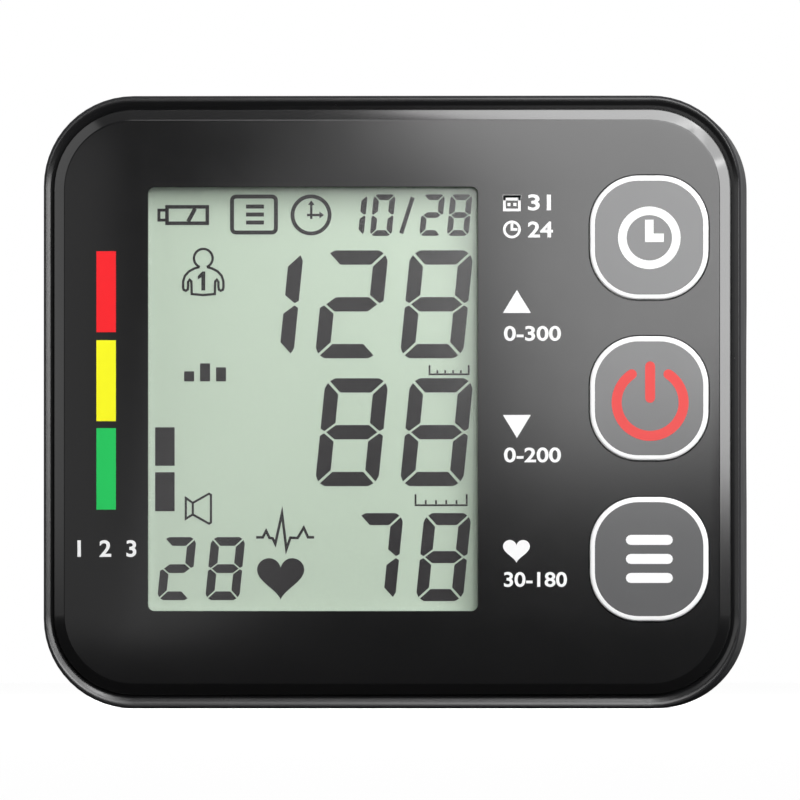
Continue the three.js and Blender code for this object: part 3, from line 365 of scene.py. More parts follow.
def plain_number(bm, text, pixel_box, y, depth):
    """Adds figures that fill a box of pixels on the front, standing from y forward by depth."""
    letters = bpy.data.curves.new("number", "FONT")
    letters.body = text
    letters.offset = FIGURE_WEIGHT
    letters.extrude = 0.5
    letters.resolution_u = 6
    flat = bmesh.new()
    take(flat, put("number", letters))
    low = Vector([min(v.co[i] for v in flat.verts) for i in range(3)])
    high = Vector([max(v.co[i] for v in flat.verts) for i in range(3)])
    left, top, right, bottom = pixel_box
    wanted = ((right - left) * PX, (bottom - top) * PX, depth)
    scale = [size / (b - a) for size, a, b in zip(wanted, low, high)]
    place = upright(spot(left, bottom), y) @ Matrix.Diagonal((*scale, 1)) @ Matrix.Translation(-low)
    bmesh.ops.transform(flat, matrix=place, verts=flat.verts)
    bmesh.ops.remove_doubles(flat, verts=flat.verts, dist=PX / 50)
    mesh = mesh_from("number", flat)
    bm.from_mesh(mesh)
    bpy.data.meshes.remove(mesh)


def add_piece(name, bm, looks, body, replaces=(), slot=None, sharp=32, clean=True):
    """Makes bm a piece on a body, with one finish or several, and creases edges past sharp degrees."""
    looks = [looks] if isinstance(looks, str) else looks
    if clean:
        bmesh.ops.remove_doubles(bm, verts=bm.verts, dist=WELD)
        bmesh.ops.recalc_face_normals(bm, faces=bm.faces)
    mesh = mesh_from(name, bm)
    for look in looks:
        mesh.materials.append(FINISHES[look])
    mesh.shade_smooth()
    mesh.set_sharp_from_angle(angle=math.radians(sharp))
    piece = put(name, mesh)
    if body:
        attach(piece, body)
    slot or looks[0]
    if replaces:
        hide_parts(*replaces)
    return piece


def even_normals(piece):
    weighted = piece.modifiers.new("Even normals", "WEIGHTED_NORMAL")
    weighted.keep_sharp = True
    weighted.weight = 100


def cad_copy(name):
    """A copy of a CAD node's mesh with its loose triangles merged and its flats cleaned."""
    bm = bmesh.new()
    bm.from_mesh(frame["nodes"][name].data)
    bmesh.ops.remove_doubles(bm, verts=bm.verts, dist=4 * WELD)
    bmesh.ops.dissolve_limit(
        bm, angle_limit=math.radians(0.5), verts=bm.verts, edges=bm.edges, use_dissolve_boundaries=False
    )
    return bm


# Finishes, by name
FINISHES = {}


def new_finish(name):
    """A node material: its tree, its main shader and its Object coordinates."""
    finish = bpy.data.materials.new(name)
    finish.use_nodes = True
    tree = finish.node_tree
    place = tree.nodes.new("ShaderNodeTexCoord").outputs["Object"]
    return finish, tree, tree.nodes["Principled BSDF"], place


def feed(tree, made, inputs):
    """Sets each socket of a node, by name or number, to a constant, or links an output into it."""
    for key, value in inputs.items():
        if isinstance(value, bpy.types.NodeSocket):
            tree.links.new(value, made.inputs[key])
        else:
            made.inputs[key].default_value = value


def node(tree, kind, inputs=None, **properties):
    made = tree.nodes.new(kind)
    for key, value in properties.items():
        setattr(made, key, value)
    feed(tree, made, inputs or {})
    return made


def maths(tree, operation, *values):
    return node(tree, "ShaderNodeMath", dict(enumerate(values)), operation=operation).outputs[0]


def noise(tree, place, feature_mm, detail=3.0):
    """Noise whose features are about feature_mm across."""
    inputs = {"Vector": place, "Scale": 1 / (feature_mm * MM), "Detail": detail, "Roughness": 0.55}
    return node(tree, "ShaderNodeTexNoise", inputs).outputs["Fac"]


def spread(tree, value, low, high, source=(0.3, 0.7)):
    """Maps a value's usual span to low and high."""
    inputs = {"Value": value, "From Min": source[0], "From Max": source[1], "To Min": low, "To Max": high}
    return node(tree, "ShaderNodeMapRange", inputs).outputs["Result"]


def shade(base, factor):
    return (*[min(1.0, c * factor) for c in base], 1.0)


def between(tree, factor, first, second):
    """A colour between two, by a factor; either may be an output."""
    return node(tree, "ShaderNodeMix", {0: factor, 6: first, 7: second}, data_type="RGBA").outputs[2]


def bump(tree, height, depth_mm):
    inputs = {"Height": height, "Strength": 1.0, "Distance": depth_mm * MM}
    return node(tree, "ShaderNodeBump", inputs).outputs["Normal"]


def axis_of(tree, place, axis):
    return node(tree, "ShaderNodeSeparateXYZ", {"Vector": place}).outputs[axis]


# Kinds of finish: each makes its nodes and returns what the main shader is fed
def moulded(tree, place, base, roughness, grain_mm, grain_depth_mm, uneven=0.12, coat=0.0, specular=0.5):
    """Moulded plastic: a fine grain, and a colour and gloss that are a little uneven."""
    dark, light = shade(base, 1 - uneven), shade(base, 1 + uneven)
    return {
        "Base Color": between(tree, noise(tree, place, 9.0), dark, light),
        "Roughness": spread(tree, noise(tree, place, 3.0), roughness * 0.92, roughness * 1.1),
        "Normal": bump(tree, noise(tree, place, grain_mm, 2.0), grain_depth_mm),
        "Specular IOR Level": specular,
        "Coat Weight": coat,
        "Coat Roughness": roughness,
    }


def printed(tree, place, base, roughness=0.42):
    """Screen-printed ink: nearly even, with the slight cloud of a thin coat."""
    return {
        "Base Color": between(tree, noise(tree, place, 1.2), shade(base, 0.95), shade(base, 1.0)),
        "Roughness": spread(tree, noise(tree, place, 0.4), roughness * 0.9, roughness * 1.1),
        "Specular IOR Level": 0.25,
    }


def metal(tree, place, base, roughness, stretch):
    """Plated or rolled metal with fine lines along one axis."""
    turned = node(tree, "ShaderNodeMapping", {"Vector": place, "Scale": stretch}).outputs["Vector"]
    lines = noise(tree, turned, 0.25, 4.0)
    return {
        "Base Color": between(tree, lines, shade(base, 0.8), shade(base, 1.08)),
        "Roughness": spread(tree, lines, roughness * 0.75, roughness * 1.3),
        "Normal": bump(tree, lines, 0.004),
        "Metallic": 1.0,
    }


def clear_window(tree, place):
    """Clear acrylic: lets the display through and keeps the gloss of its face."""
    tree.nodes.remove(tree.nodes["Principled BSDF"])
    white = (1, 1, 1, 1)
    through = node(tree, "ShaderNodeBsdfTransparent", {"Color": white}).outputs["BSDF"]
    smear = spread(tree, noise(tree, place, 14.0), 0.135, 0.155)
    gloss = node(tree, "ShaderNodeBsdfGlossy", {"Color": white, "Roughness": smear}).outputs["BSDF"]
    tilt = node(tree, "ShaderNodeLayerWeight", {"Blend": 0.5}).outputs["Facing"]
    share = spread(tree, maths(tree, "POWER", tilt, 5.0), 0.045, 0.9, (0, 1))
    mixed = node(tree, "ShaderNodeMixShader", {0: share, 1: through, 2: gloss})
    feed(tree, tree.nodes["Material Output"], {"Surface": mixed.outputs["Shader"]})
    return {}


def display_reflector(tree, place, base):
    """Grey-green reflector of the display, with the fine sparkle of its brushed back."""
    grain = noise(tree, place, 0.22, 4.0)
    cloud = between(tree, noise(tree, place, 24.0, 1.0), shade(base, 0.97), shade(base, 1.03))
    return {
        "Base Color": between(tree, spread(tree, grain, 0.0, 1.0), cloud, shade(base, 1.05)),
        "Roughness": spread(tree, grain, 0.5, 0.62),
        "Normal": bump(tree, grain, 0.003),
        "Specular IOR Level": 0.2,
    }


def circuit_board(tree, place, base):
    """Solder mask with tracks that show through it."""
    inputs = {"Vector": place, "Scale": 420.0, "Mortar Size": 0.035, "Mortar": shade(base, 2.2)}
    inputs.update({"Color1": shade(base, 0.8), "Color2": shade(base, 1.1)})
    tracks = node(tree, "ShaderNodeTexBrick", inputs)
    return {
        "Base Color": between(tree, noise(tree, place, 5.0), tracks.outputs["Color"], shade(base, 1.2)),
        "Roughness": 0.35,
        "Normal": bump(tree, tracks.outputs["Fac"], 0.02),
    }


def cell_sleeve(tree, place, base, band):
    """Printed sleeve of a cell: a dark body, a band near one end and a metal look."""
    low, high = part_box("cell_1")
    start = high.z - 0.26 * (high.z - low.z)
    soft = 0.05 * MM
    step = spread(tree, axis_of(tree, place, "Z"), 0.0, 1.0, (start - soft, start + soft))
    return {
        "Base Color": between(tree, step, shade(base, 1.0), shade(band, 1.0)),
        "Roughness": spread(tree, noise(tree, place, 2.0), 0.24, 0.36),
        "Metallic": 0.55,
    }


def woven(tree, place, base, thread_mm, depth_mm, sheen, fuzz=0.0):
    """Plain-woven cloth on the piece's own UV map, which is in metres: threads pass over and under, with
    painted shade in the weave's hollows and a painted highlight on the thread tops.
    """
    cloth = node(tree, "ShaderNodeUVMap", uv_map="Cloth").outputs["UV"]
    inputs = {"Vector": cloth, "Scale": 1 / (thread_mm * MM)}
    threads = node(tree, "ShaderNodeVectorMath", inputs, operation="SCALE").outputs["Vector"]
    rounds = []
    for axis in ("X", "Y"):
        turn = maths(tree, "MULTIPLY", axis_of(tree, threads, axis), math.pi)
        rounds.append(maths(tree, "ABSOLUTE", maths(tree, "SINE", turn)))
    over = node(tree, "ShaderNodeTexChecker", {"Vector": threads, "Scale": 1.0}).outputs["Fac"]
    height = node(tree, "ShaderNodeMix", {0: over, 2: rounds[0], 3: rounds[1]}).outputs[0]
    hair = noise(tree, place, 0.16, 2.0)
    # painted shade and highlight: the cloth's colour is darker in the weave's hollows and lighter on the
    # thread tops
    painted_weave_shade = between(tree, height, shade(base, 0.45), shade(base, 1.25))
    worn = spread(tree, noise(tree, place, 7.0), 0.0, 0.35)
    return {
        "Base Color": between(tree, worn, painted_weave_shade, shade(base, 1.7)),
        "Roughness": spread(tree, hair, 0.72, 0.92),
        "Normal": bump(tree, maths(tree, "MULTIPLY_ADD", hair, fuzz, height), depth_mm),
        "Sheen Weight": sheen,
        "Sheen Roughness": 0.45,
        "Specular IOR Level": 0.2,
    }


def hook_tape(tree, _, base):
    """Hook tape: close rows of small stiff hooks, with painted shade between them and a painted highlight
    on their tops.
    """
    cloth = node(tree, "ShaderNodeUVMap", uv_map="Cloth").outputs["UV"]
    inputs = {"Vector": cloth, "Scale": 1 / (1.1 * MM), "Randomness": 0.25}
    hooks = node(tree, "ShaderNodeTexVoronoi", inputs).outputs["Distance"]
    height = spread(tree, hooks, 1.0, 0.0, (0.05, 0.5))
    return {
        # painted shade and highlight: the colour is darker between the hooks and lighter on their tops
        "Base Color": between(tree, height, shade(base, 0.5), shade(base, 2.2)),
        "Roughness": 0.55,
        "Normal": bump(tree, height, 0.3),
    }


def make_finishes(context):
    """Makes all finishes once. Each row: the kind of finish, its colour and its other numbers in order."""
    if FINISHES:
        return
    hues = context.scene.monitor_colours
    rows = {
        "panel_black": (moulded, hues.panel, 0.14, 0.5, 0.0003, 0.05, 1.0),
        "bezel_black": (moulded, hues.bezel, 0.25, 0.12, 0.0012, 0.12, 1.0),
        "cover_black": (moulded, hues.cover, 0.68, 0.16, 0.012, 0.12, 0.0, 0.12),
        "key_grey": (moulded, hues.key, 0.15, 0.3, 0.0003, 0.03, 1.0),
        "white_ink": (printed, hues.white_ink),
        "red_ink": (printed, hues.red_ink),
        "yellow_ink": (printed, hues.yellow_ink),
        "green_ink": (printed, hues.green_ink),
        "power_red": (printed, hues.power_red),
        "window_clear": (clear_window,),
        "display_green": (display_reflector, hues.display),
        "display_figures": (printed, hues.figures, 0.5),
        "moulding_white": (moulded, (0.72, 0.72, 0.69), 0.45, 0.3, 0.004),
        "moulding_dark": (moulded, (0.03, 0.03, 0.034), 0.5, 0.3, 0.006),
        "rubber_dark": (moulded, (0.05, 0.05, 0.055), 0.7, 0.2, 0.006),
        "hose_silicone": (moulded, (0.76, 0.74, 0.68), 0.4, 0.6, 0.003),
        "board_green": (circuit_board, (0.02, 0.12, 0.05)),
        "screw_steel": (metal, (0.45, 0.45, 0.47), 0.3, (1, 5, 1)),
        "contact_steel": (metal, (0.6, 0.6, 0.61), 0.25, (1, 1, 6)),
        "cell_jacket": (cell_sleeve, (0.03, 0.033, 0.038), (0.62, 0.36, 0.1)),
        "cuff_weave": (woven, hues.cloth, 0.55, 0.1, 0.6, 0.5),
        "cuff_lining": (woven, hues.lining, 0.36, 0.05, 0.35, 0.15),
        "cuff_tape": (woven, hues.cloth, 0.42, 0.08, 0.4),
        "hook_black": (hook_tape, (0.012, 0.012, 0.013)),
        "thread": (moulded, hues.thread, 0.6, 0.15, 0.02),
    }
    for name, (kind, *numbers) in rows.items():
        FINISHES[name], tree, shader, place = new_finish(name)
        feed(tree, shader, kind(tree, place, *numbers))


# Printed signs and plain numbers, each with its box of pixels: left, top, right, bottom
PANEL_NUMBERS = (
    ("31", (528, 194.5, 551, 210.5)),
    ("24", (528, 221.5, 553, 237.5)),
    ("0-300", (504, 326, 561, 341)),
    ("0-200", (504, 447.5, 561, 462.5)),
    ("30-180", (504, 572, 567, 587)),
    ("1  2  3", (77, 540, 136, 557)),
)
SIGN_STROKE = 2.6
DATE_SHEET = (504.5, 196.5, 519.5, 210)
DATE_BLOCKS = ((503, 195, 521, 200.5), (507.5, 203, 510.5, 206), (513.5, 203, 516.5, 206))  # head and days
TIME_MIDDLE = (512, 229.5)
TIME_RADIUS = 7.6
TIME_HANDS = (223.5, 517.5)  # top of one hand, right end of the other
UPPER_SIGN = ((503, 313), (517, 290), (531, 313))
LOWER_SIGN = ((503, 415), (531, 415), (517, 438))
PULSE_SIGN = (503, 540, 530, 563)
ZONES = (
    ("red", (96, 251, 115.5, 332)),
    ("yellow", (96, 340, 115.5, 421)),
    ("green", (96, 428, 115.5, 509.5)),
)

# The display's figures, each with its box of pixels and its stroke
SEGMENTS = {"0": "abcdef", "1": "bc", "2": "abdeg", "7": "abc", "8": "abcdefg"}
DIGIT_SLANT = 0.1
DIGITS = (
    ("1", (229, 250, 303, 358), 14.3),
    ("2", (314, 250, 388, 358), 14.3),
    ("8", (399, 250, 473, 358), 14.3),
    ("8", (314, 378, 388, 486), 14.3),
    ("8", (399, 378, 473, 486), 14.3),
    ("7", (348, 513, 403, 601), 12.0),
    ("8", (415, 513, 471, 601), 12.0),
    ("2", (156, 537, 195.5, 600), 8.7),
    ("8", (204, 537, 244.5, 600), 8.7),
    ("1", (341, 194, 367, 235.5), 5.7),
    ("0", (369, 194, 395, 235.5), 5.7),
    ("2", (418.5, 194, 444.5, 235.5), 5.7),
    ("8", (446, 194, 472, 235.5), 5.7),
)

# The display's signs, in pixels
USER_NUMBER = (
    (200.3, 290), (200.3, 276.8), (196.6, 279), (196.6, 275.6), (201.2, 271), (204.2, 271), (204.2, 290),
)
USER_MIDDLE = 202.2
USER_SIDE = (
    (-3.8, 266.5), (-9, 268), (-14.5, 271), (-18.5, 275.5), (-20.2, 281), (-20.2, 287), (-19.6, 289.3),
    (-17.5, 290.3), (-15.6, 289), (-15.2, 286), (-15.2, 281.5), (-13.6, 279.3), (-12, 281), (-11.8, 285),
    (-11.6, 293.6), (0, 294.6),
)
USER_BODY = [(USER_MIDDLE + dx, py) for dx, py in USER_SIDE]
USER_BODY += [(USER_MIDDLE - dx, py) for dx, py in reversed(USER_SIDE[:-1])]
MEMORY_BOX = arc((271, 200), 4, 90, 0, 4) + arc((271, 228), 4, 0, -90, 4)
MEMORY_BOX += arc((235, 228), 4, 270, 180, 4) + arc((235, 200), 4, 180, 90, 4)
PULSE_LINE = (
    (255.2, 537.2), (261.9, 537.2), (265.2, 530.8), (268.6, 537.8), (271.7, 538.2), (274.4, 543.7),
    (281.1, 513.2), (285.5, 549), (289.5, 537.6), (296.8, 537.8), (302.9, 527.6), (307.2, 537.2),
    (313.3, 537.2),
)
SPEAKER = (
    (184.7, 497.8), (191.7, 502.7), (208, 493.5), (209.9, 494.7), (209.9, 522.3), (208, 523.5),
    (191.7, 514.3), (184.7, 518.6),
)
DISPLAY_LINES = (  # points, stroke, and whether the line is closed
    (corners_of((165.8, 206.3, 206.2, 222.7)), 3.6, True),  # battery
    (((164.5, 209.5), (157.7, 209.5), (157.7, 219.5), (164.5, 219.5)), 3.0, False),
    (((187, 221), (194, 208)), 4.0, False),
    (MEMORY_BOX, 4.0, True),
    (arc((310.2, 214.5), 18.6, 0, 354, 48), 3.8, True),  # clock
    (((310.4, 218.5), (310.4, 203)), 2.4, False),
    (((306.2, 214.6), (320, 214.6)), 2.4, False),
    (arc((USER_MIDDLE, 257.8), 9.4, 248, -68, 26), 2.4, False),
    (USER_BODY, 2.4, False),
    (SPEAKER, 2.2, True),
    (((191.7, 502.7), (191.7, 514.3)), 2.2, False),
    (PULSE_LINE, 2.6, False),
    (((400.5, 233), (412, 197)), 4.2, False),  # stroke of the date
)
CLOCK_POINTS = (
    ((307, 204.5), (310.4, 200), (313.8, 204.5)),
    ((318.6, 211.2), (323.2, 214.6), (318.6, 218)),
)
HEART = (256, 558, 303.5, 600)
LEVEL_BARS = ((154, 427, 173.5, 465.5), (154, 472, 173.5, 511))
MEMORY_ROWS = ((245, 204, 263, 208), (245, 212, 263, 216), (245, 220, 263, 224))
MEAN_BARS = ((183, 371, 193, 381), (199, 363, 209, 381), (215, 367, 225, 381))
SCALES = ((428, 365, 469, 375), (414, 494, 467, 506))  # each a row of ticks on a line
TICK_STROKE = 1.8
TICK_FOOT = 2.0  # ticks end just above their line
TICK_GAPS = 5

# The keys' signs, in pixels
CLOCK_MIDDLE = (649.5, 238.0)
CLOCK_RADIUS = 27.0
CLOCK_STROKE = 8.5
CLOCK_HANDS = (220.0, 664.0)
LIST_ROWS = (540.0, 559.0, 578.0)
LIST_ENDS = (631.0, 668.0)
LIST_STROKE = 10.0
POWER_MIDDLE = (650.3, 402.5)
POWER_RADIUS = 33.5
POWER_STROKE = 10.0
POWER_OPEN = 33.0  # half the opening at the top, in degrees
POWER_BAR = (366.5, 398.0)  # top and bottom of the bar


def digit_segments(digit, box, stroke):
    """Outlines of the lit segments of a slanted seven-segment figure."""
    left, top, right, bottom = box
    height = bottom - top
    width = right - left - DIGIT_SLANT * height
    middle = height / 2
    gap = 0.13 * stroke
    t = stroke
    cross = [(0.2 * t + gap, 0.2 * t), (0.55 * t + gap, 0), (width - 0.55 * t - gap, 0)]
    cross += [(width - 0.2 * t - gap, 0.2 * t), (width - t - gap, t), (t + gap, t)]
    side = [(0, 0.6 * t + gap), (0.2 * t, 0.2 * t + gap), (t, t + gap)]
    side += [(t, middle - 0.65 * t), (0.28 * t, middle - 0.08 * t), (0, middle - 0.25 * t)]
    bar = [(0.42 * t, middle), (1.05 * t, middle - t / 2), (width - 1.05 * t, middle - t / 2)]
    bar += [(width - 0.42 * t, middle), (width - 1.05 * t, middle + t / 2), (1.05 * t, middle + t / 2)]
    shapes = {"a": cross, "f": side, "g": bar}
    shapes["d"] = [(u, height - v) for u, v in cross]
    shapes["e"] = [(u, height - v) for u, v in side]
    shapes["b"] = [(width - u, v) for u, v in side]
    shapes["c"] = [(width - u, height - v) for u, v in side]
    for name in SEGMENTS[digit]:
        yield [(left + u + DIGIT_SLANT * (height - v), top + v) for u, v in shapes[name]]


def clock(bm, middle, radius, stroke, hands, y, ink):
    """Adds a clock sign: a ring and two hands, whose far ends are hands (a height and an x)."""
    line_work(bm, arc(middle, radius, 0, 352.5, 47), stroke, y, ink, True)
    line_work(bm, [(middle[0], hands[0]), middle, (hands[1], middle[1])], stroke, y, ink)


class MONITOR_OT_case(bpy.types.Operator):
    """Build the bezel, the rear cover and the cell door"""

    bl_idname = "monitor.case"
    bl_label = "Case"

    slope_tips = (27.0, 35.0)  # degrees by which the rim's slope is tipped, outside and inside
    slope_steps = 6
    web_gap = 0.1 * MM  # behind the panel
    web_depth = 1.2 * MM
    web_width = 2.0 * MM
    rim_steps = 6
    soft_edge = 0.18 * MM
    soft_from = math.radians(40)
    cad_flat = math.radians(15)  # turn of one flat of the CAD cover's corners
    flat_cuts = 4
    round_share = 0.65  # of the corner's radius, past which a point is on the round
    shells = (("back_shell", "rear_cover", "case"), ("battery_door", "cell_door", "door"))

    def execute(self, context):
        sizes = context.scene.monitor_front
        make_finishes(context)
        self.bezel(sizes)
        for name, cad, body in self.shells:
            bm = cad_copy(cad)
            if cad == "rear_cover":
                self.round_corners(bm, sizes.case_corner)
            shell = add_piece(name, bm, "cover_black", body, [cad], clean=False)
            soften = shell.modifiers.new("Soft edges", "BEVEL")
            soften.width = self.soft_edge
            soften.segments = 2
            soften.limit_method = "ANGLE"
            soften.angle_limit = self.soft_from
            soften.use_clamp_overlap = True
            even_normals(shell)
        return {"FINISHED"}

    def round_corners(self, bm, corner):
        """Cuts the flats of the case's corners finer and moves the cuts out onto the round."""
        flat, cuts = self.cad_flat, self.flat_cuts
        middle_z = (BEZEL_LOW.z + BEZEL_HIGH.z) / 2
        for across, up in ((1, 1), (-1, 1), (-1, -1), (1, -1)):
            straight = BEZEL_HIGH.z - middle_z - corner
            axis = Vector((across * (BEZEL_HIGH.x - corner), 0, middle_z + up * straight))

            def polar(vert):
                return across * (vert.co.x - axis.x), up * (vert.co.z - axis.z)

            def on_round(vert):
                side, rise = polar(vert)
                return min(side, rise) > -20 * WELD and math.hypot(side, rise) > self.round_share * corner

            for i in range(1, round(math.pi / 2 / flat) * cuts):
                if i % cuts:
                    turn = flat * i / cuts
                    faces = [f for f in bm.faces if all(on_round(v) for v in f.verts)]
                    geom = {item for face in faces for item in (face, *face.edges, *face.verts)}
                    away = Vector((-across * math.sin(turn), 0, up * math.cos(turn)))
                    plane = {"dist": 10 * WELD, "plane_co": axis, "plane_no": away}
                    bmesh.ops.bisect_plane(bm, geom=list(geom), **plane)
            for vert in filter(on_round, bm.verts):
                side, rise = polar(vert)
                off = math.atan2(rise, side) % flat - flat / 2
                grow = math.cos(off) / math.cos(flat / 2)
                vert.co.x = axis.x + across * side * grow
                vert.co.z = axis.z + up * rise * grow

    def bezel(self, sizes):
        bm = bmesh.new()
        middle = (0, MIDDLE_Z)
        body = front_of(BEZEL_LOW, BEZEL_HIGH)[1]
        panel = front_of(PANEL_LOW, PANEL_HIGH)[1]
        rim = BEZEL_LOW.y
        outer = [(0, BEZEL_HIGH.y), *edge_round(sizes.rim_round, rim, self.rim_steps)]
        grained = [1] * (len(outer) - 1)  # the side is grained as the cover is
        back, crest = stack(bm, middle, body, sizes.case_corner, outer, CORNER_STEPS, grained)
        play = sizes.panel_gap
        web = PANEL_HIGH.y + self.web_gap
        first, last = [math.radians(tip) for tip in self.slope_tips]
        tips = [first + (last - first) * i / self.slope_steps for i in range(self.slope_steps + 1)]
        bend = sizes.rim_slope / (math.sin(last) - math.sin(first))
        crown = -play - sizes.rim_slope - bend * math.sin(first)
        pocket = [(crown + bend * math.sin(a), rim + bend * (math.cos(first) - math.cos(a))) for a in tips]
        pocket += [(-play, web), (self.web_width, web), (self.web_width, web + self.web_depth)]
        lip, ledge = stack(bm, middle, panel, sizes.panel_corner, pocket, CORNER_STEPS)
        bridge(bm, crest, lip)
        inner = [(sizes.wall, web + self.web_depth), (sizes.wall, BEZEL_HIGH.y)]
        under, foot = stack(bm, middle, body, sizes.case_corner, inner, CORNER_STEPS)
        bridge(bm, ledge, under)
        bridge(bm, foot, back)
        even_normals(add_piece("front_shell", bm, ["bezel_black", "cover_black"], "case", ["front_bezel"]))


class MONITOR_OT_panel(bpy.types.Operator):
    """Build the bevelled front panel with its window and key holes"""

    bl_idname = "monitor.panel"
    bl_label = "Front panel"

    edge_steps = 4
    window_seat = 0.1 * MM

    def execute(self, context):
        sizes = context.scene.monitor_front
        make_finishes(context)
        bm = bmesh.new()
        size = front_of(PANEL_LOW, PANEL_HIGH)[1]
        loops = stack(bm, (0, MIDDLE_Z), size, sizes.panel_corner, self.profile(sizes), CORNER_STEPS)
        ends = [loops[::-1]]  # front and back
        chamfer = sizes.hole_chamfer
        for middle, opening, corner in self.openings(sizes):
            hole = [(-chamfer, FACE_Y), (0, FACE_Y + chamfer), (0, PANEL_HIGH.y)]
            ends.append(stack(bm, middle, opening, corner, hole, SMALL_STEPS))
        for fields in zip(*ends):
            cap(bm, *fields)
        add_piece("panel_sheet", bm, "panel_black", "case", ["front_panel"], sharp=20)
        return {"FINISHED"}

    def profile(self, sizes):
        """From the back over the bevel to the face, with a round between the two."""
        radius = sizes.panel_edge
        tip = math.atan2(sizes.panel_bevel_depth, sizes.panel_bevel)
        profile = [(0, PANEL_HIGH.y), (0, FACE_Y + sizes.panel_bevel_depth)]
        run = radius * math.tan(tip / 2)  # from the edge to where the round begins
        for i in range(self.edge_steps + 1):
            turn = tip * (1 - i / self.edge_steps)
            inward = sizes.panel_bevel + run - radius * math.sin(turn)
            profile.append((inward, FACE_Y + radius * (1 - math.cos(turn))))
        return profile

    def openings(self, sizes):
        """Middle, size and corner radius of the window and of each key hole."""
        middle, size = front_of(WINDOW_LOW, WINDOW_HIGH)
        yield middle, [side + 2 * self.window_seat for side in size], sizes.window_corner
        for name in KEY_NAMES:
            hole = (sizes.key_width + 2 * sizes.key_gap, sizes.key_height + 2 * sizes.key_gap)
            yield front_of(*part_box(f"key_{name}"))[0], hole, sizes.key_corner + sizes.key_gap


class MONITOR_OT_printing(bpy.types.Operator):
    """Print the signs, the numbers and the coloured zones on the panel"""

    bl_idname = "monitor.printing"
    bl_label = "Printing"

    def execute(self, context):
        ink = context.scene.monitor_front.ink
        make_finishes(context)
        labels = bmesh.new()
        for text, box in PANEL_NUMBERS:
            plain_number(labels, text, box, FACE_Y, ink)
        line_work(labels, corners_of(DATE_SHEET), SIGN_STROKE, FACE_Y, ink, True)
        clock(labels, TIME_MIDDLE, TIME_RADIUS, SIGN_STROKE, TIME_HANDS, FACE_Y, ink)
        blocks = [corners_of(box) for box in DATE_BLOCKS]
        for outline in (*blocks, UPPER_SIGN, LOWER_SIGN, heart_outline(PULSE_SIGN)):
            prism(labels, outline, FACE_Y, ink)
        add_piece("panel_signs", labels, "white_ink", "case", slot="panel_black")
        for name, box in ZONES:
            zone = bmesh.new()
            prism(zone, corners_of(box), FACE_Y, ink)
            add_piece(f"zone_{name}", zone, f"{name}_ink", "case", slot="panel_black")
        return {"FINISHED"}


class MONITOR_OT_display(bpy.types.Operator):
    """Build the display: clear window, glass, and the figures on it"""

    bl_idname = "monitor.display"
    bl_label = "Display"

    corner_steps = 8

    def execute(self, context):
        sizes = context.scene.monitor_front
        make_finishes(context)
        window = self.pane(WINDOW_LOW, WINDOW_HIGH, sizes)
        add_piece("window_pane", window, "window_clear", "case", ["display_window"])
        glass = self.pane(GLASS_LOW, GLASS_HIGH, sizes)
        add_piece("display_plate", glass, "display_green", "case", ["display_glass"])
        figures = self.figures(GLASS_LOW.y, sizes.ink)
        add_piece("display_figures", figures, "display_figures", "case", slot="display_green")
        return {"FINISHED"}

    def pane(self, low, high, sizes):
        chamfer = sizes.hole_chamfer
        profile = [(chamfer, high.y), (0, high.y - chamfer), (0, low.y + chamfer), (chamfer, low.y)]
        return plate(*front_of(low, high), sizes.window_corner, profile, self.corner_steps)

    def figures(self, y, ink):
        bm = bmesh.new()
        outlines = [outline for row in DIGITS for outline in digit_segments(*row)]
        outlines += [USER_NUMBER, heart_outline(HEART), *CLOCK_POINTS]
        outlines += [corners_of(box) for box in LEVEL_BARS + MEMORY_ROWS + MEAN_BARS]
        for left, top, right, bottom in SCALES:
            outlines.append(corners_of((left, bottom - TICK_STROKE, right, bottom)))
            for i in range(TICK_GAPS + 1):
                tick = left + (right - left - TICK_STROKE) * i / TICK_GAPS
                rise = (top + bottom) / 2 if i % TICK_GAPS else top
                outlines.append(corners_of((tick, rise, tick + TICK_STROKE, bottom - TICK_FOOT)))
        for outline in outlines:
            prism(bm, outline, y, ink)
        for points, stroke, closed in DISPLAY_LINES:
            line_work(bm, points, stroke, y, ink, closed)
        return bm


class MONITOR_OT_keys(bpy.types.Operator):
    """Build the three keys with their rings and signs"""

    bl_idname = "monitor.keys"
    bl_label = "Keys"

    edge_steps = 4

    def execute(self, context):
        sizes = context.scene.monitor_front
        make_finishes(context)
        draw = {"start": self.clock_sign, "power": self.power_sign, "memory": self.list_sign}
        for name in KEY_NAMES:
            low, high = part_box(f"key_{name}")
            body = f"{name}_key"
            moulding = self.key_cap(low, high, sizes)
            add_piece(f"{name}_key_cap", moulding, ["key_grey", "white_ink"], body, [f"key_{name}"])
            sign = bmesh.new()
            draw[name](sign, low.y, sizes.ink)
            ink = "power_red" if name == "power" else "white_ink"
            add_piece(f"{name}_key_sign", sign, ink, body, slot="key_grey")
        return {"FINISHED"}

    def key_cap(self, low, high, sizes):
        flange = (high.x - low.x - sizes.key_width) / 2
        shoulder = high.y - flange
        top = edge_round(sizes.key_round, low.y, self.edge_steps)
        profile = [(-flange, high.y), (-flange, shoulder), (0, shoulder), *top, (sizes.key_ring, low.y)]
        materials = [0, 0, 0] + [1] * len(top)  # the ring is white
        size = (sizes.key_width, sizes.key_height)
        return plate(front_of(low, high)[0], size, sizes.key_corner, profile, CORNER_STEPS, materials)

    def clock_sign(self, bm, y, ink):
        clock(bm, CLOCK_MIDDLE, CLOCK_RADIUS, CLOCK_STROKE, CLOCK_HANDS, y, ink)

    def list_sign(self, bm, y, ink):
        for row in LIST_ROWS:
            prism(bm, round_ended([(end, row) for end in LIST_ENDS], LIST_STROKE), y, ink)

    def power_sign(self, bm, y, ink):
        ring = arc(POWER_MIDDLE, POWER_RADIUS, 90 + POWER_OPEN, 450 - POWER_OPEN, 60)
        bar = [(POWER_MIDDLE[0], end) for end in POWER_BAR]
        for points in (ring, bar):
            prism(bm, round_ended(points, POWER_STROKE), y, ink)


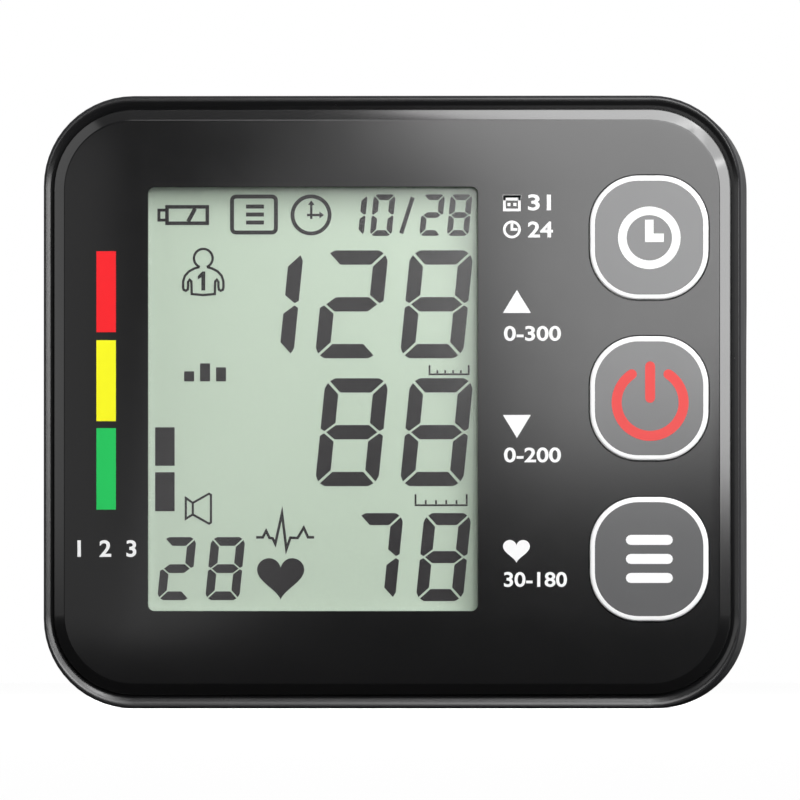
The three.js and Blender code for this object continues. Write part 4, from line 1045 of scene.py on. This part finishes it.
class MONITOR_OT_inner_parts(bpy.types.Operator):
    """Give every CAD node that still shows its finish, and build the cells"""

    bl_idname = "monitor.inner_parts"
    bl_label = "Inner parts"

    # A cell's profile in millimetres: in from the side, or for the nub out from the axis, and up
    cell_base = ((1.2, 0), (1.0, 0.15), (0.5, 0.15), (0, 0.6))
    cell_shoulder = ((0, -0.6), (0.5, -0.1))
    cell_nub = ((2.6, -0.1), (2.4, 0), (1.9, 0), (1.9, 0.6), (1.7, 0.8), (0, 0.8))
    jacket_edge = 0.45 * MM  # how far in from the side the jacket goes
    tip_depth = 0.3 * MM  # of the end that is looked at for the nub
    turn_steps = 48

    def execute(self, context):
        make_finishes(context)
        for name in ("cell_1", "cell_2"):
            self.cell(name)
        self.valve_spring()
        for row in frame["record"]["subparts"]:
            shown = frame["nodes"][row["node"]]
            shown.data.materials.clear()
            shown.data.materials.append(FINISHES[row["material_slot"]])
        return {"FINISHED"}

    def valve_spring(self):
        """The valve's return spring, which on the real valve gets shorter by the plunger's travel as it
        closes; here a copy of its CAD coil with a mesh of its own.
        """
        coil = cad_copy("valve_spring")
        spring = add_piece("return_spring", coil, "contact_steel", "case", ["valve_spring"])
        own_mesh(spring)

    def cell(self, cad):
        """A dry cell, turned from its profile: sleeve with rounded shoulders, contact nub and base."""
        low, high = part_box(cad)
        middle = Vector(((low.x + high.x) / 2, (low.y + high.y) / 2, 0))
        radius = (high.x - low.x) / 2
        ends = [v.co for v in frame["nodes"][cad].data.vertices if v.co.z > high.z - self.tip_depth]
        nub_up = max((co - middle).xy.length for co in ends) < radius / 2
        total = high.z - low.z
        tall = total - self.cell_nub[-1][1] * MM
        turned = [(0, 0)]
        turned += [(radius - inset * MM, up * MM) for inset, up in self.cell_base]
        turned += [(radius - inset * MM, tall + up * MM) for inset, up in self.cell_shoulder]
        turned += [(out * MM, tall + up * MM) for out, up in self.cell_nub]
        bm = bmesh.new()
        verts = [bm.verts.new((out, 0, up if nub_up else total - up)) for out, up in turned]
        geom = verts + [bm.edges.new(pair) for pair in zip(verts, verts[1:])]
        spin = {"cent": (0, 0, 0), "axis": (0, 0, 1), "angle": 2 * math.pi, "steps": self.turn_steps}
        bmesh.ops.spin(bm, geom=geom, use_merge=True, **spin)
        bmesh.ops.translate(bm, verts=bm.verts, vec=(middle.x, middle.y, low.z))
        for face in bm.faces:
            off = (face.calc_center_median() - middle).xy.length
            face.material_index = 0 if off > radius - self.jacket_edge else 1
        add_piece(f"dry_{cad}", bm, ["cell_jacket", "contact_steel"], "case", [cad])


# Cuff pieces are laid out flat, with x along the wrap, z along the arm and -y outwards, then wrapped
STRAP_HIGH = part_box("cuff_strap")[1]
STRAP_OUT = (5.5 * MM, 6.7 * MM)  # strap's inside and outside, counted out from the bore
SLEEVE_REACH = 118.0  # degrees each way from the case
STRAP_TIP = 78.0
STRAP_TAIL = 252.0
STRAP_BEND = (245.0, 234.0)  # where the strap starts and ends its bend at the sleeve's edge
HOOK_SPAN = (81.0, 115.0)
HOOK_OUT = (4.8 * MM, 5.4 * MM)
HOOK_WIDTH = 44.0 * MM
HOOK_CORNER = 5.0 * MM


def wrist_y(sizes):
    return STRAP_HIGH.y - sizes.bore_depth - STRAP_OUT[1]


def wrap_radius(sizes):
    return (sizes.bore_depth + sizes.bore_height) / 2 + sizes.sleeve


def wrap_length(sizes, degrees):
    return wrap_radius(sizes) * math.radians(degrees)


def wrist_place(sizes, degrees, out, x):
    """A point of the cuff: degrees from the case over the top, distance out from the bore, and x."""
    angle = math.radians(degrees)
    y = wrist_y(sizes) - (sizes.bore_depth + out) * math.cos(angle)
    return Vector((x, y, MIDDLE_Z + (sizes.bore_height + out) * math.sin(angle)))


def wrap(bm, sizes, lift=None):
    """Wraps a flat layout round the wrist, lifted where lift says so."""
    for vert in bm.verts:
        degrees = math.degrees(vert.co.x / wrap_radius(sizes))
        out = -vert.co.y + (lift(degrees) if lift else 0.0)
        vert.co = wrist_place(sizes, degrees, out, vert.co.z)


def map_cloth(bm):
    """Maps the cloth's UVs from the flat layout, in metres."""
    layer = bm.loops.layers.uv.new("Cloth")
    for face in bm.faces:
        for loop in face.loops:
            loop[layer].uv = (loop.vert.co.x + loop.vert.co.y, loop.vert.co.z + loop.vert.co.y)


def lay(bm, sizes, step, lift=None):
    """Cuts a flat layout across, often enough for it to bend, maps it as cloth and wraps it."""
    low, high = min(v.co.x for v in bm.verts), max(v.co.x for v in bm.verts)
    count = int((high - low) / step)
    for i in range(1, count):
        geom = bm.verts[:] + bm.edges[:] + bm.faces[:]
        cut = (low + (high - low) * i / count, 0, 0)
        bmesh.ops.bisect_plane(bm, geom=geom, dist=20 * WELD, plane_co=cut, plane_no=(1, 0, 0))
    map_cloth(bm)
    wrap(bm, sizes, lift)


def border_path(size, corner, inset, step):
    """Places along a rounded rectangle, step apart: (position, direction) in the flat layout."""
    half = (size[0] / 2 - inset, size[1] / 2 - inset)
    radius = corner - inset
    straight = (2 * (half[0] - radius), 2 * (half[1] - radius))
    lengths = [straight[0], math.pi / 2 * radius, straight[1], math.pi / 2 * radius] * 2
    total = sum(lengths)
    count = int(total / step)
    starts = [(-half[0] + radius, -half[1]), (half[0] - radius, -half[1])]
    starts += [(half[0], -half[1] + radius), (half[0], half[1] - radius)]
    starts += [(-x, -z) for x, z in starts]
    for i in range(count):
        gone, leg = total * i / count, 0
        while gone > lengths[leg]:
            gone -= lengths[leg]
            leg += 1
        heading = math.pi / 2 * (leg // 2)
        along = Vector((math.cos(heading), math.sin(heading)))
        start = Vector(starts[leg])
        if leg % 2 == 0:
            yield start + along * gone, heading
        else:
            turn = gone / radius
            middle = start + Vector((-along.y, along.x)) * radius
            yield middle + Matrix.Rotation(turn, 2) @ (start - middle), heading + turn


def straight_row(start, end, step):
    along = Vector(end) - Vector(start)
    count = int(along.length / step)
    heading = math.atan2(along.y, along.x)
    for i in range(count):
        yield Vector(start) + along * (i + 0.5) / count, heading


def stitches(bm, places, sizes, out):
    """Adds one short thread at each place, half sunk in the cloth."""
    slim = Matrix.Diagonal((sizes.stitch / 2, sizes.thread / 2, sizes.thread / 2, 1))
    for place, heading in places:
        where = Matrix.Translation((place.x, -out, place.y)) @ Matrix.Rotation(-heading, 4, "Y")
        bmesh.ops.create_uvsphere(bm, u_segments=6, v_segments=5, radius=1.0, matrix=where @ slim)


class MONITOR_OT_cuff_sleeve(bpy.types.Operator):
    """Build the cuff's padded sleeve: cloth, cushion, binding and stitching"""

    bl_idname = "monitor.cuff_sleeve"
    bl_label = "Cuff sleeve"

    corner = 6 * MM
    corner_steps = 8
    hem = 0.7 * MM  # in from the sleeve's edge to the cloth's flat
    fold = 1.0 * MM
    fold_soft = 0.2 * MM
    cloth_depths = (-3.75 * MM, -4.5 * MM)  # inside and outside
    cloth_step = 1.2 * MM
    tape_step = 1.6 * MM
    cushion_edge = 1.2 * MM
    cushion_depths = (-3.65 * MM, -0.5 * MM)  # next to the cloth and next to the wrist
    cushion_cells = (110, 62)
    held_border = 3.2 * MM  # of the lining, under the binding
    held_seam = 0.3 * MM
    held_share = 0.02  # points less free than this are sewn down
    swell_reach = 6.0 * MM  # from a seam to where the lining is quite free
    swell_most = 1.1 * MM
    swell_frames = 20
    swell_settings = {
        "quality": 6,
        "mass": 0.2,
        "tension_stiffness": 20,
        "compression_stiffness": 8,
        "bending_stiffness": 0.3,
        "vertex_group_mass": "Sewn",
        "use_pressure": True,
        "uniform_pressure_force": 4.0,
    }
    stitch_inset = 0.9 * MM  # from the binding's inner edge
    stitch_outs = (4.7 * MM, -0.05 * MM)  # outside and inside of the binding, out from the bore
    seam_out = 0.45 * MM
    seam_gap = 0.5 * MM  # between a seam's end and the binding

    def execute(self, context):
        sizes = context.scene.monitor_cuff
        make_finishes(context)
        flat = (wrap_length(sizes, 2 * SLEEVE_REACH), sizes.sleeve_width)
        self.cloth(sizes, flat)
        self.cushion(context, sizes, flat)
        self.binding(sizes, flat)
        self.sewing(sizes, flat)
        return {"FINISHED"}

    def cloth(self, sizes, flat):
        inside, outside = self.cloth_depths
        hem, fold, soft = self.hem, self.fold, self.fold_soft
        profile = [(fold, inside), (hem, inside), (hem - soft, outside + soft), (hem, outside)]
        bm = plate((0, 0), flat, self.corner, profile, self.corner_steps)
        lay(bm, sizes, self.cloth_step)
        piece = add_piece("cuff_cloth", bm, "cuff_weave", "case", ["cuff_fabric"])

    def cushion(self, context, sizes, flat):
        """The lining over the air bladder, swelled by a cloth simulation between its seams."""
        bm = bmesh.new()
        swell = bm.verts.layers.float.new("swell")
        outer, inner = self.cushion_depths
        size = [side - 2 * self.cushion_edge for side in flat]
        place = upright((0, 0), outer) @ Matrix.Diagonal((*size, 1, 1))
        along, across = self.cushion_cells
        bmesh.ops.create_grid(bm, x_segments=along, y_segments=across, size=0.5, matrix=place)
        made = bmesh.ops.extrude_face_region(bm, geom=bm.faces[:])
        seams = self.seam_lines(sizes, flat)
        for vert in push(bm, made, (0, inner - outer, 0)):
            vert[swell] = self.freedom(vert.co.x, vert.co.z, flat, seams)
        map_cloth(bm)
        wrap(bm, sizes)
        bmesh.ops.recalc_face_normals(bm, faces=bm.faces)
        piece = add_piece("cuff_cushion", bm, "cuff_lining", "case", clean=False)
        self.inflate(context, piece, sizes)
        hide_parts("cuff_lining", "cuff_bladder")

    def seam_lines(self, sizes, flat):
        return [flat[0] * (i / sizes.channels - 0.5) for i in range(1, sizes.channels)]

    def freedom(self, along, across, flat, seams):
        """How free a point of the lining is: 0 on a seam or under the binding, 1 well away from both."""
        border = min(flat[0] / 2 - abs(along), flat[1] / 2 - abs(across)) - self.held_border
        seam = min(abs(along - line) for line in seams) - self.held_seam if seams else border
        return min(1.0, max(0.0, min(border, seam)) / self.swell_reach)

    def inflate(self, context, piece, sizes):
        mesh = piece.data
        free = [0.0] * len(mesh.vertices)
        mesh.attributes["swell"].data.foreach_get("value", free)
        limits = [self.swell_most * math.sin(share * math.pi / 2) for share in free]
        swelled = self.simulate(context, piece, free)
        shifts = [now - vert.co for vert, now in zip(mesh.vertices, swelled)]
        for vert, shift, limit in zip(mesh.vertices, shifts, limits):
            if shift.length > limit:
                shift = shift.normalized() * limit
            vert.co += shift
        mesh.attributes.remove(mesh.attributes["swell"])
        mesh.update()

    def simulate(self, context, piece, free):
        """Where Cloth takes each point of the cushion when it is blown up between its seams."""
        pins = piece.vertex_groups.new(name=self.swell_settings["vertex_group_mass"])
        pins.add([index for index, share in enumerate(free) if share < self.held_share], 1.0, "REPLACE")
        cloth = piece.modifiers.new("Swell", "CLOTH")
        for name, value in self.swell_settings.items():
            setattr(cloth.settings, name, value)
        cloth.settings.effector_weights.gravity = 0
        for step in range(self.swell_frames):
            context.scene.frame_set(step + 1)
        swelled = piece.evaluated_get(context.evaluated_depsgraph_get())
        places = [vert.co.copy() for vert in swelled.data.vertices]
        piece.modifiers.remove(cloth)
        piece.vertex_groups.clear()
        context.scene.frame_set(1)
        return places

    def binding(self, sizes, flat):
        """Tape folded over the edges of cloth and lining, all the way round."""
        wide = sizes.binding / MM
        profile = [(wide, -4.45), (wide - 0.2, -4.68), (0.7, -4.72), (0.15, -4.4), (0, -3.6), (0, -1.2)]
        profile += [(0.15, -0.3), (0.7, 0.05), (wide - 0.2, 0.05), (wide, -0.25)]
        profile = [(inset * MM, y * MM) for inset, y in profile]
        bm = bmesh.new()
        first, last = stack(bm, (0, 0), flat, self.corner, profile, SMALL_STEPS)
        bridge(bm, last, first)
        lay(bm, sizes, self.tape_step)
        add_piece("cuff_binding", bm, "cuff_tape", "case", slot="cuff_weave", sharp=60)

    def sewing(self, sizes, flat):
        bm = bmesh.new()
        step = sizes.stitch + sizes.stitch_gap
        inset = sizes.binding - self.stitch_inset
        for out in self.stitch_outs:
            stitches(bm, border_path(flat, self.corner, inset, step), sizes, out)
        reach = flat[1] / 2 - sizes.binding - self.seam_gap
        for line in self.seam_lines(sizes, flat):
            stitches(bm, straight_row((line, -reach), (line, reach), step), sizes, self.seam_out)
        wrap(bm, sizes)
        add_piece("cuff_stitching", bm, "thread", "case", slot="cuff_weave")


class MONITOR_OT_cuff_strap(bpy.types.Operator):
    """Build the closing strap, its hook patch and its stitching"""

    bl_idname = "monitor.cuff_strap"
    bl_label = "Cuff strap"

    tip_corner = 11 * MM
    slice_step = 1.2 * MM
    soft_edge = (0.35 * MM, 0.08 * MM, 0.25 * MM)  # inset at the faces, inset below them, and how far below
    lie_span = (226.0, 240.0)  # degrees over which the strap comes down on the sleeve
    lie_drop = 0.5 * MM
    stitch_inset = 2.2 * MM
    stitch_sink = 0.02 * MM
    tail_box = (4 * MM, 11 * MM, 6 * MM)  # sewn at the tail: its near and far end, and in from the sides
    hook_soft = 0.12 * MM
    hook_steps = 6

    def execute(self, context):
        sizes = context.scene.monitor_cuff
        make_finishes(context)
        start, end = wrap_length(sizes, STRAP_TIP), wrap_length(sizes, STRAP_TAIL)
        middle = ((start + end) / 2, 0)
        size = (end - start, sizes.strap_width)
        strap = self.band(sizes, middle, size)
        sewing = self.sewing(sizes, middle, size)
        bend = [wrist_place(sizes, degrees, STRAP_OUT[0], 0) for degrees in STRAP_BEND]
        for piece in (strap, sewing):
            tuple(bend[0])
            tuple(bend[1])
            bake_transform(piece)
        self.hooks(sizes)
        return {"FINISHED"}

    def lie(self, degrees):
        """The strap's tail lies down on the sleeve past the bend."""
        first, last = self.lie_span
        share = min(1.0, max(0.0, (degrees - first) / (last - first)))
        return -self.lie_drop * share * share * (3 - 2 * share)

    def band(self, sizes, middle, size):
        inside, outside = -STRAP_OUT[0], -STRAP_OUT[1]
        soft, edge, below = self.soft_edge
        profile = [(soft, inside), (edge, inside - below), (0, (inside + outside) / 2)]
        profile += [(edge, outside + below), (soft, outside)]
        bm = plate(middle, size, self.tip_corner, profile, SMALL_STEPS)
        lay(bm, sizes, self.slice_step, self.lie)
        return add_piece("cuff_band", bm, "cuff_weave", None, ["cuff_strap"])

    def sewing(self, sizes, middle, size):
        bm = bmesh.new()
        step = sizes.stitch + sizes.stitch_gap
        border = border_path(size, self.tip_corner, self.stitch_inset, step)
        rows = [[(place + Vector(middle), heading) for place, heading in border]]
        tail, near = [wrap_length(sizes, STRAP_TAIL) - back for back in self.tail_box[:2]]
        half = size[1] / 2 - self.tail_box[2]
        for left, right in ((near, near), (tail, tail), (near, tail)):
            rows.append(straight_row((left, -half), (right, half), step))
        for row in rows:
            stitches(bm, row, sizes, STRAP_OUT[1] - self.stitch_sink)
        wrap(bm, sizes, self.lie)
        return add_piece("band_stitching", bm, "thread", None, slot="cuff_weave")

    def hooks(self, sizes):
        start, end = [wrap_length(sizes, degrees) for degrees in HOOK_SPAN]
        soft = self.hook_soft
        near, far = -HOOK_OUT[0], -HOOK_OUT[1]
        profile = [(soft, far), (0, far + soft), (0, near - soft), (soft, near)]
        size = (end - start, HOOK_WIDTH)
        bm = plate(((start + end) / 2, 0), size, HOOK_CORNER, profile, self.hook_steps)
        lay(bm, sizes, self.slice_step)
        add_piece("hook_tape", bm, "hook_black", "strap", ["hook_patch"])


class MONITOR_OT_stage(bpy.types.Operator):
    """Set the floor, the light and the camera"""

    bl_idname = "monitor.stage"
    bl_label = "Stage"

    target = Vector((0.825 * MM, FACE_Y, 30.85 * MM))
    distance = 2.2
    azimuth = math.radians(2.34)
    elevation = math.radians(-0.7)
    frame_side = 80 * MM  # width of the photograph at the panel's face
    sensor = 36.0
    floor_half = 4.0
    floor_fade = (0.0, 0.15)  # from the darker front to the lighter back
    floor_greys = ((0.03, 0.03, 0.03, 1), (0.45, 0.45, 0.45, 1), (0.9, 0.9, 0.9, 1))  # front, back, seen
    floor_glow = 0.6
    world_fade = (-0.4, 0.4)
    soft_fade = (-0.8, 0.2)
    soft_light = 0.62
    white = (1, 1, 1, 1)
    lights = (  # name, place and size in millimetres, turn on its own axis in degrees, and radiance
        ("panel_softbox", (57, -290, 91), (135, 115), 8, 3.1),
        ("panel_edge", (-91, -290, 24), (90, 120), 0, 0.36),
        ("panel_tail", (-24, -290, 42), (110, 16), 68, 0.65),
        ("right_key", (215, -150, 78), (110, 116), 0, 5.6),
        ("corner_key", (145, -117, 153), (86, 86), 45, 5.0),
        ("top_key", (62, -112, 205), (120, 90), 0, 6.0),
        ("front_fill", (240, -627, 431), (640, 640), 0, 2.2),
        ("left_fill", (-520, -330, 240), (300, 760), 0, 0.62),
        ("left_side", (-420, 20, 70), (260, 300), 0, 5.0),
        ("rear_fill", (200, 620, 560), (500, 500), 0, 3.6),
    )

    def execute(self, context):
        scene = context.scene
        scene.view_settings.view_transform = "Standard"
        self.floor()
        self.world(scene)
        for row in self.lights:
            self.lamp(*row)
        self.camera(scene)
        return {"FINISHED"}

    def floor(self):
        bm = bmesh.new()
        bmesh.ops.create_grid(bm, x_segments=1, y_segments=1, size=self.floor_half)
        floor = put("floor", mesh_from("floor", bm))
        finish, tree, shader, place = new_finish("floor_white")
        ahead = axis_of(tree, place, "Y")
        seen, gleam = self.ray_kinds(tree, ahead, self.floor_fade)
        front, back, shown = self.floor_greys
        plain = between(tree, spread(tree, ahead, 0.0, 1.0, self.floor_fade), front, back)
        inputs = {
            "Base Color": between(tree, seen, plain, shown),
            "Emission Strength": maths(tree, "MULTIPLY", gleam, self.floor_glow),
            "Emission Color": self.white,
            "Roughness": 0.9,
            "Specular IOR Level": 0.0,
        }
        feed(tree, shader, inputs)
        floor.data.materials.append(finish)
        floor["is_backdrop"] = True

    def ray_kinds(self, tree, ahead, reach):
        """Where the white surround shows: to the camera and through glass, and to gloss on its far side."""
        rays = node(tree, "ShaderNodeLightPath").outputs
        seen = maths(tree, "MAXIMUM", rays["Is Camera Ray"], rays["Is Transmission Ray"])
        far = maths(tree, "MULTIPLY", spread(tree, ahead, 0.0, 1.0, reach), rays["Is Glossy Ray"])
        return seen, maths(tree, "MAXIMUM", seen, far)

    def world(self, scene):
        """White to the camera; as a light, soft, and dark behind the camera, so that black stays black."""
        scene.world = bpy.data.worlds.new("studio")
        scene.world.use_nodes = True
        tree = scene.world.node_tree
        ahead = axis_of(tree, node(tree, "ShaderNodeTexCoord").outputs["Generated"], "Y")
        gleam = self.ray_kinds(tree, ahead, self.world_fade)[1]
        soft = spread(tree, ahead, 0.0, self.soft_light, self.soft_fade)
        inputs = {"Color": self.white, "Strength": maths(tree, "MAXIMUM", gleam, soft)}
        feed(tree, tree.nodes["Background"], inputs)

    def lamp(self, name, place, size, turn, radiance):
        """A rectangular lamp, turned towards the middle of the panel, that the camera doesn't see."""
        lamp = bpy.data.lights.new(name, "AREA")
        lamp.shape = "RECTANGLE"
        lamp.size, lamp.size_y = size[0] * MM, size[1] * MM
        lamp.energy = radiance * math.pi * lamp.size * lamp.size_y
        held = put(name, lamp)
        where = Vector(place) * MM
        aim = Vector((0, FACE_Y, MIDDLE_Z)) - where
        facing = aim.to_track_quat("-Z", "Y").to_matrix().to_4x4()
        turned = facing @ Matrix.Rotation(math.radians(turn), 4, "Z")
        held.matrix_world = Matrix.Translation(where) @ turned
        held.visible_camera = False

    def camera(self, scene):
        lens = bpy.data.cameras.new("camera")
        lens.sensor_fit = "HORIZONTAL"
        lens.sensor_width = self.sensor
        lens.lens = self.sensor * self.distance / self.frame_side
        lens.clip_end = 20
        held = put("camera", lens)
        level = math.cos(self.elevation)
        across, away = math.sin(self.azimuth) * level, math.cos(self.azimuth) * level
        back = Vector((across, -away, math.sin(self.elevation)))
        held.location = self.target + back * self.distance
        held.rotation_euler = (-back).to_track_quat("-Z", "Y").to_euler()
        scene.camera = held


class MONITOR_PT_sidebar(bpy.types.Panel):
    """Sizes, colours and steps of the monitor"""

    bl_idname = "MONITOR_PT_sidebar"
    bl_label = "Blood Pressure Monitor"
    bl_space_type = "VIEW_3D"
    bl_region_type = "UI"
    bl_category = "Monitor"

    def draw(self, context):
        layout = self.layout
        scene = context.scene
        for step in STEPS:
            layout.operator(step.bl_idname)
        for group in (scene.monitor_front, scene.monitor_cuff, scene.monitor_colours):
            box = layout.box()
            for name in group.__annotations__:
                box.prop(group, name)


STEPS = (
    MONITOR_OT_case,
    MONITOR_OT_panel,
    MONITOR_OT_printing,
    MONITOR_OT_display,
    MONITOR_OT_keys,
    MONITOR_OT_inner_parts,
    MONITOR_OT_cuff_sleeve,
    MONITOR_OT_cuff_strap,
    MONITOR_OT_stage,
)
CLASSES = (MonitorFrontSizes, MonitorCuffSizes, MonitorColours, *STEPS, MONITOR_PT_sidebar)


def register():
    for each in CLASSES:
        bpy.utils.register_class(each)
    bpy.types.Scene.monitor_front = PointerProperty(type=MonitorFrontSizes)
    bpy.types.Scene.monitor_cuff = PointerProperty(type=MonitorCuffSizes)
    bpy.types.Scene.monitor_colours = PointerProperty(type=MonitorColours)


def unregister():
    del bpy.types.Scene.monitor_colours
    del bpy.types.Scene.monitor_cuff
    del bpy.types.Scene.monitor_front
    for each in reversed(CLASSES):
        bpy.utils.unregister_class(each)


def main():
    register()
    bpy.ops.monitor.case()
    bpy.ops.monitor.panel()
    bpy.ops.monitor.printing()
    bpy.ops.monitor.display()
    bpy.ops.monitor.keys()
    bpy.ops.monitor.inner_parts()
    bpy.ops.monitor.cuff_sleeve()
    bpy.ops.monitor.cuff_strap()
    bpy.ops.monitor.stage()
    boxes = {"cad": CAD_BOX, "visual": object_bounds()}
    {name: [list(corner) for corner in box] for name, box in boxes.items()}


if __name__ == "__main__":
    main()
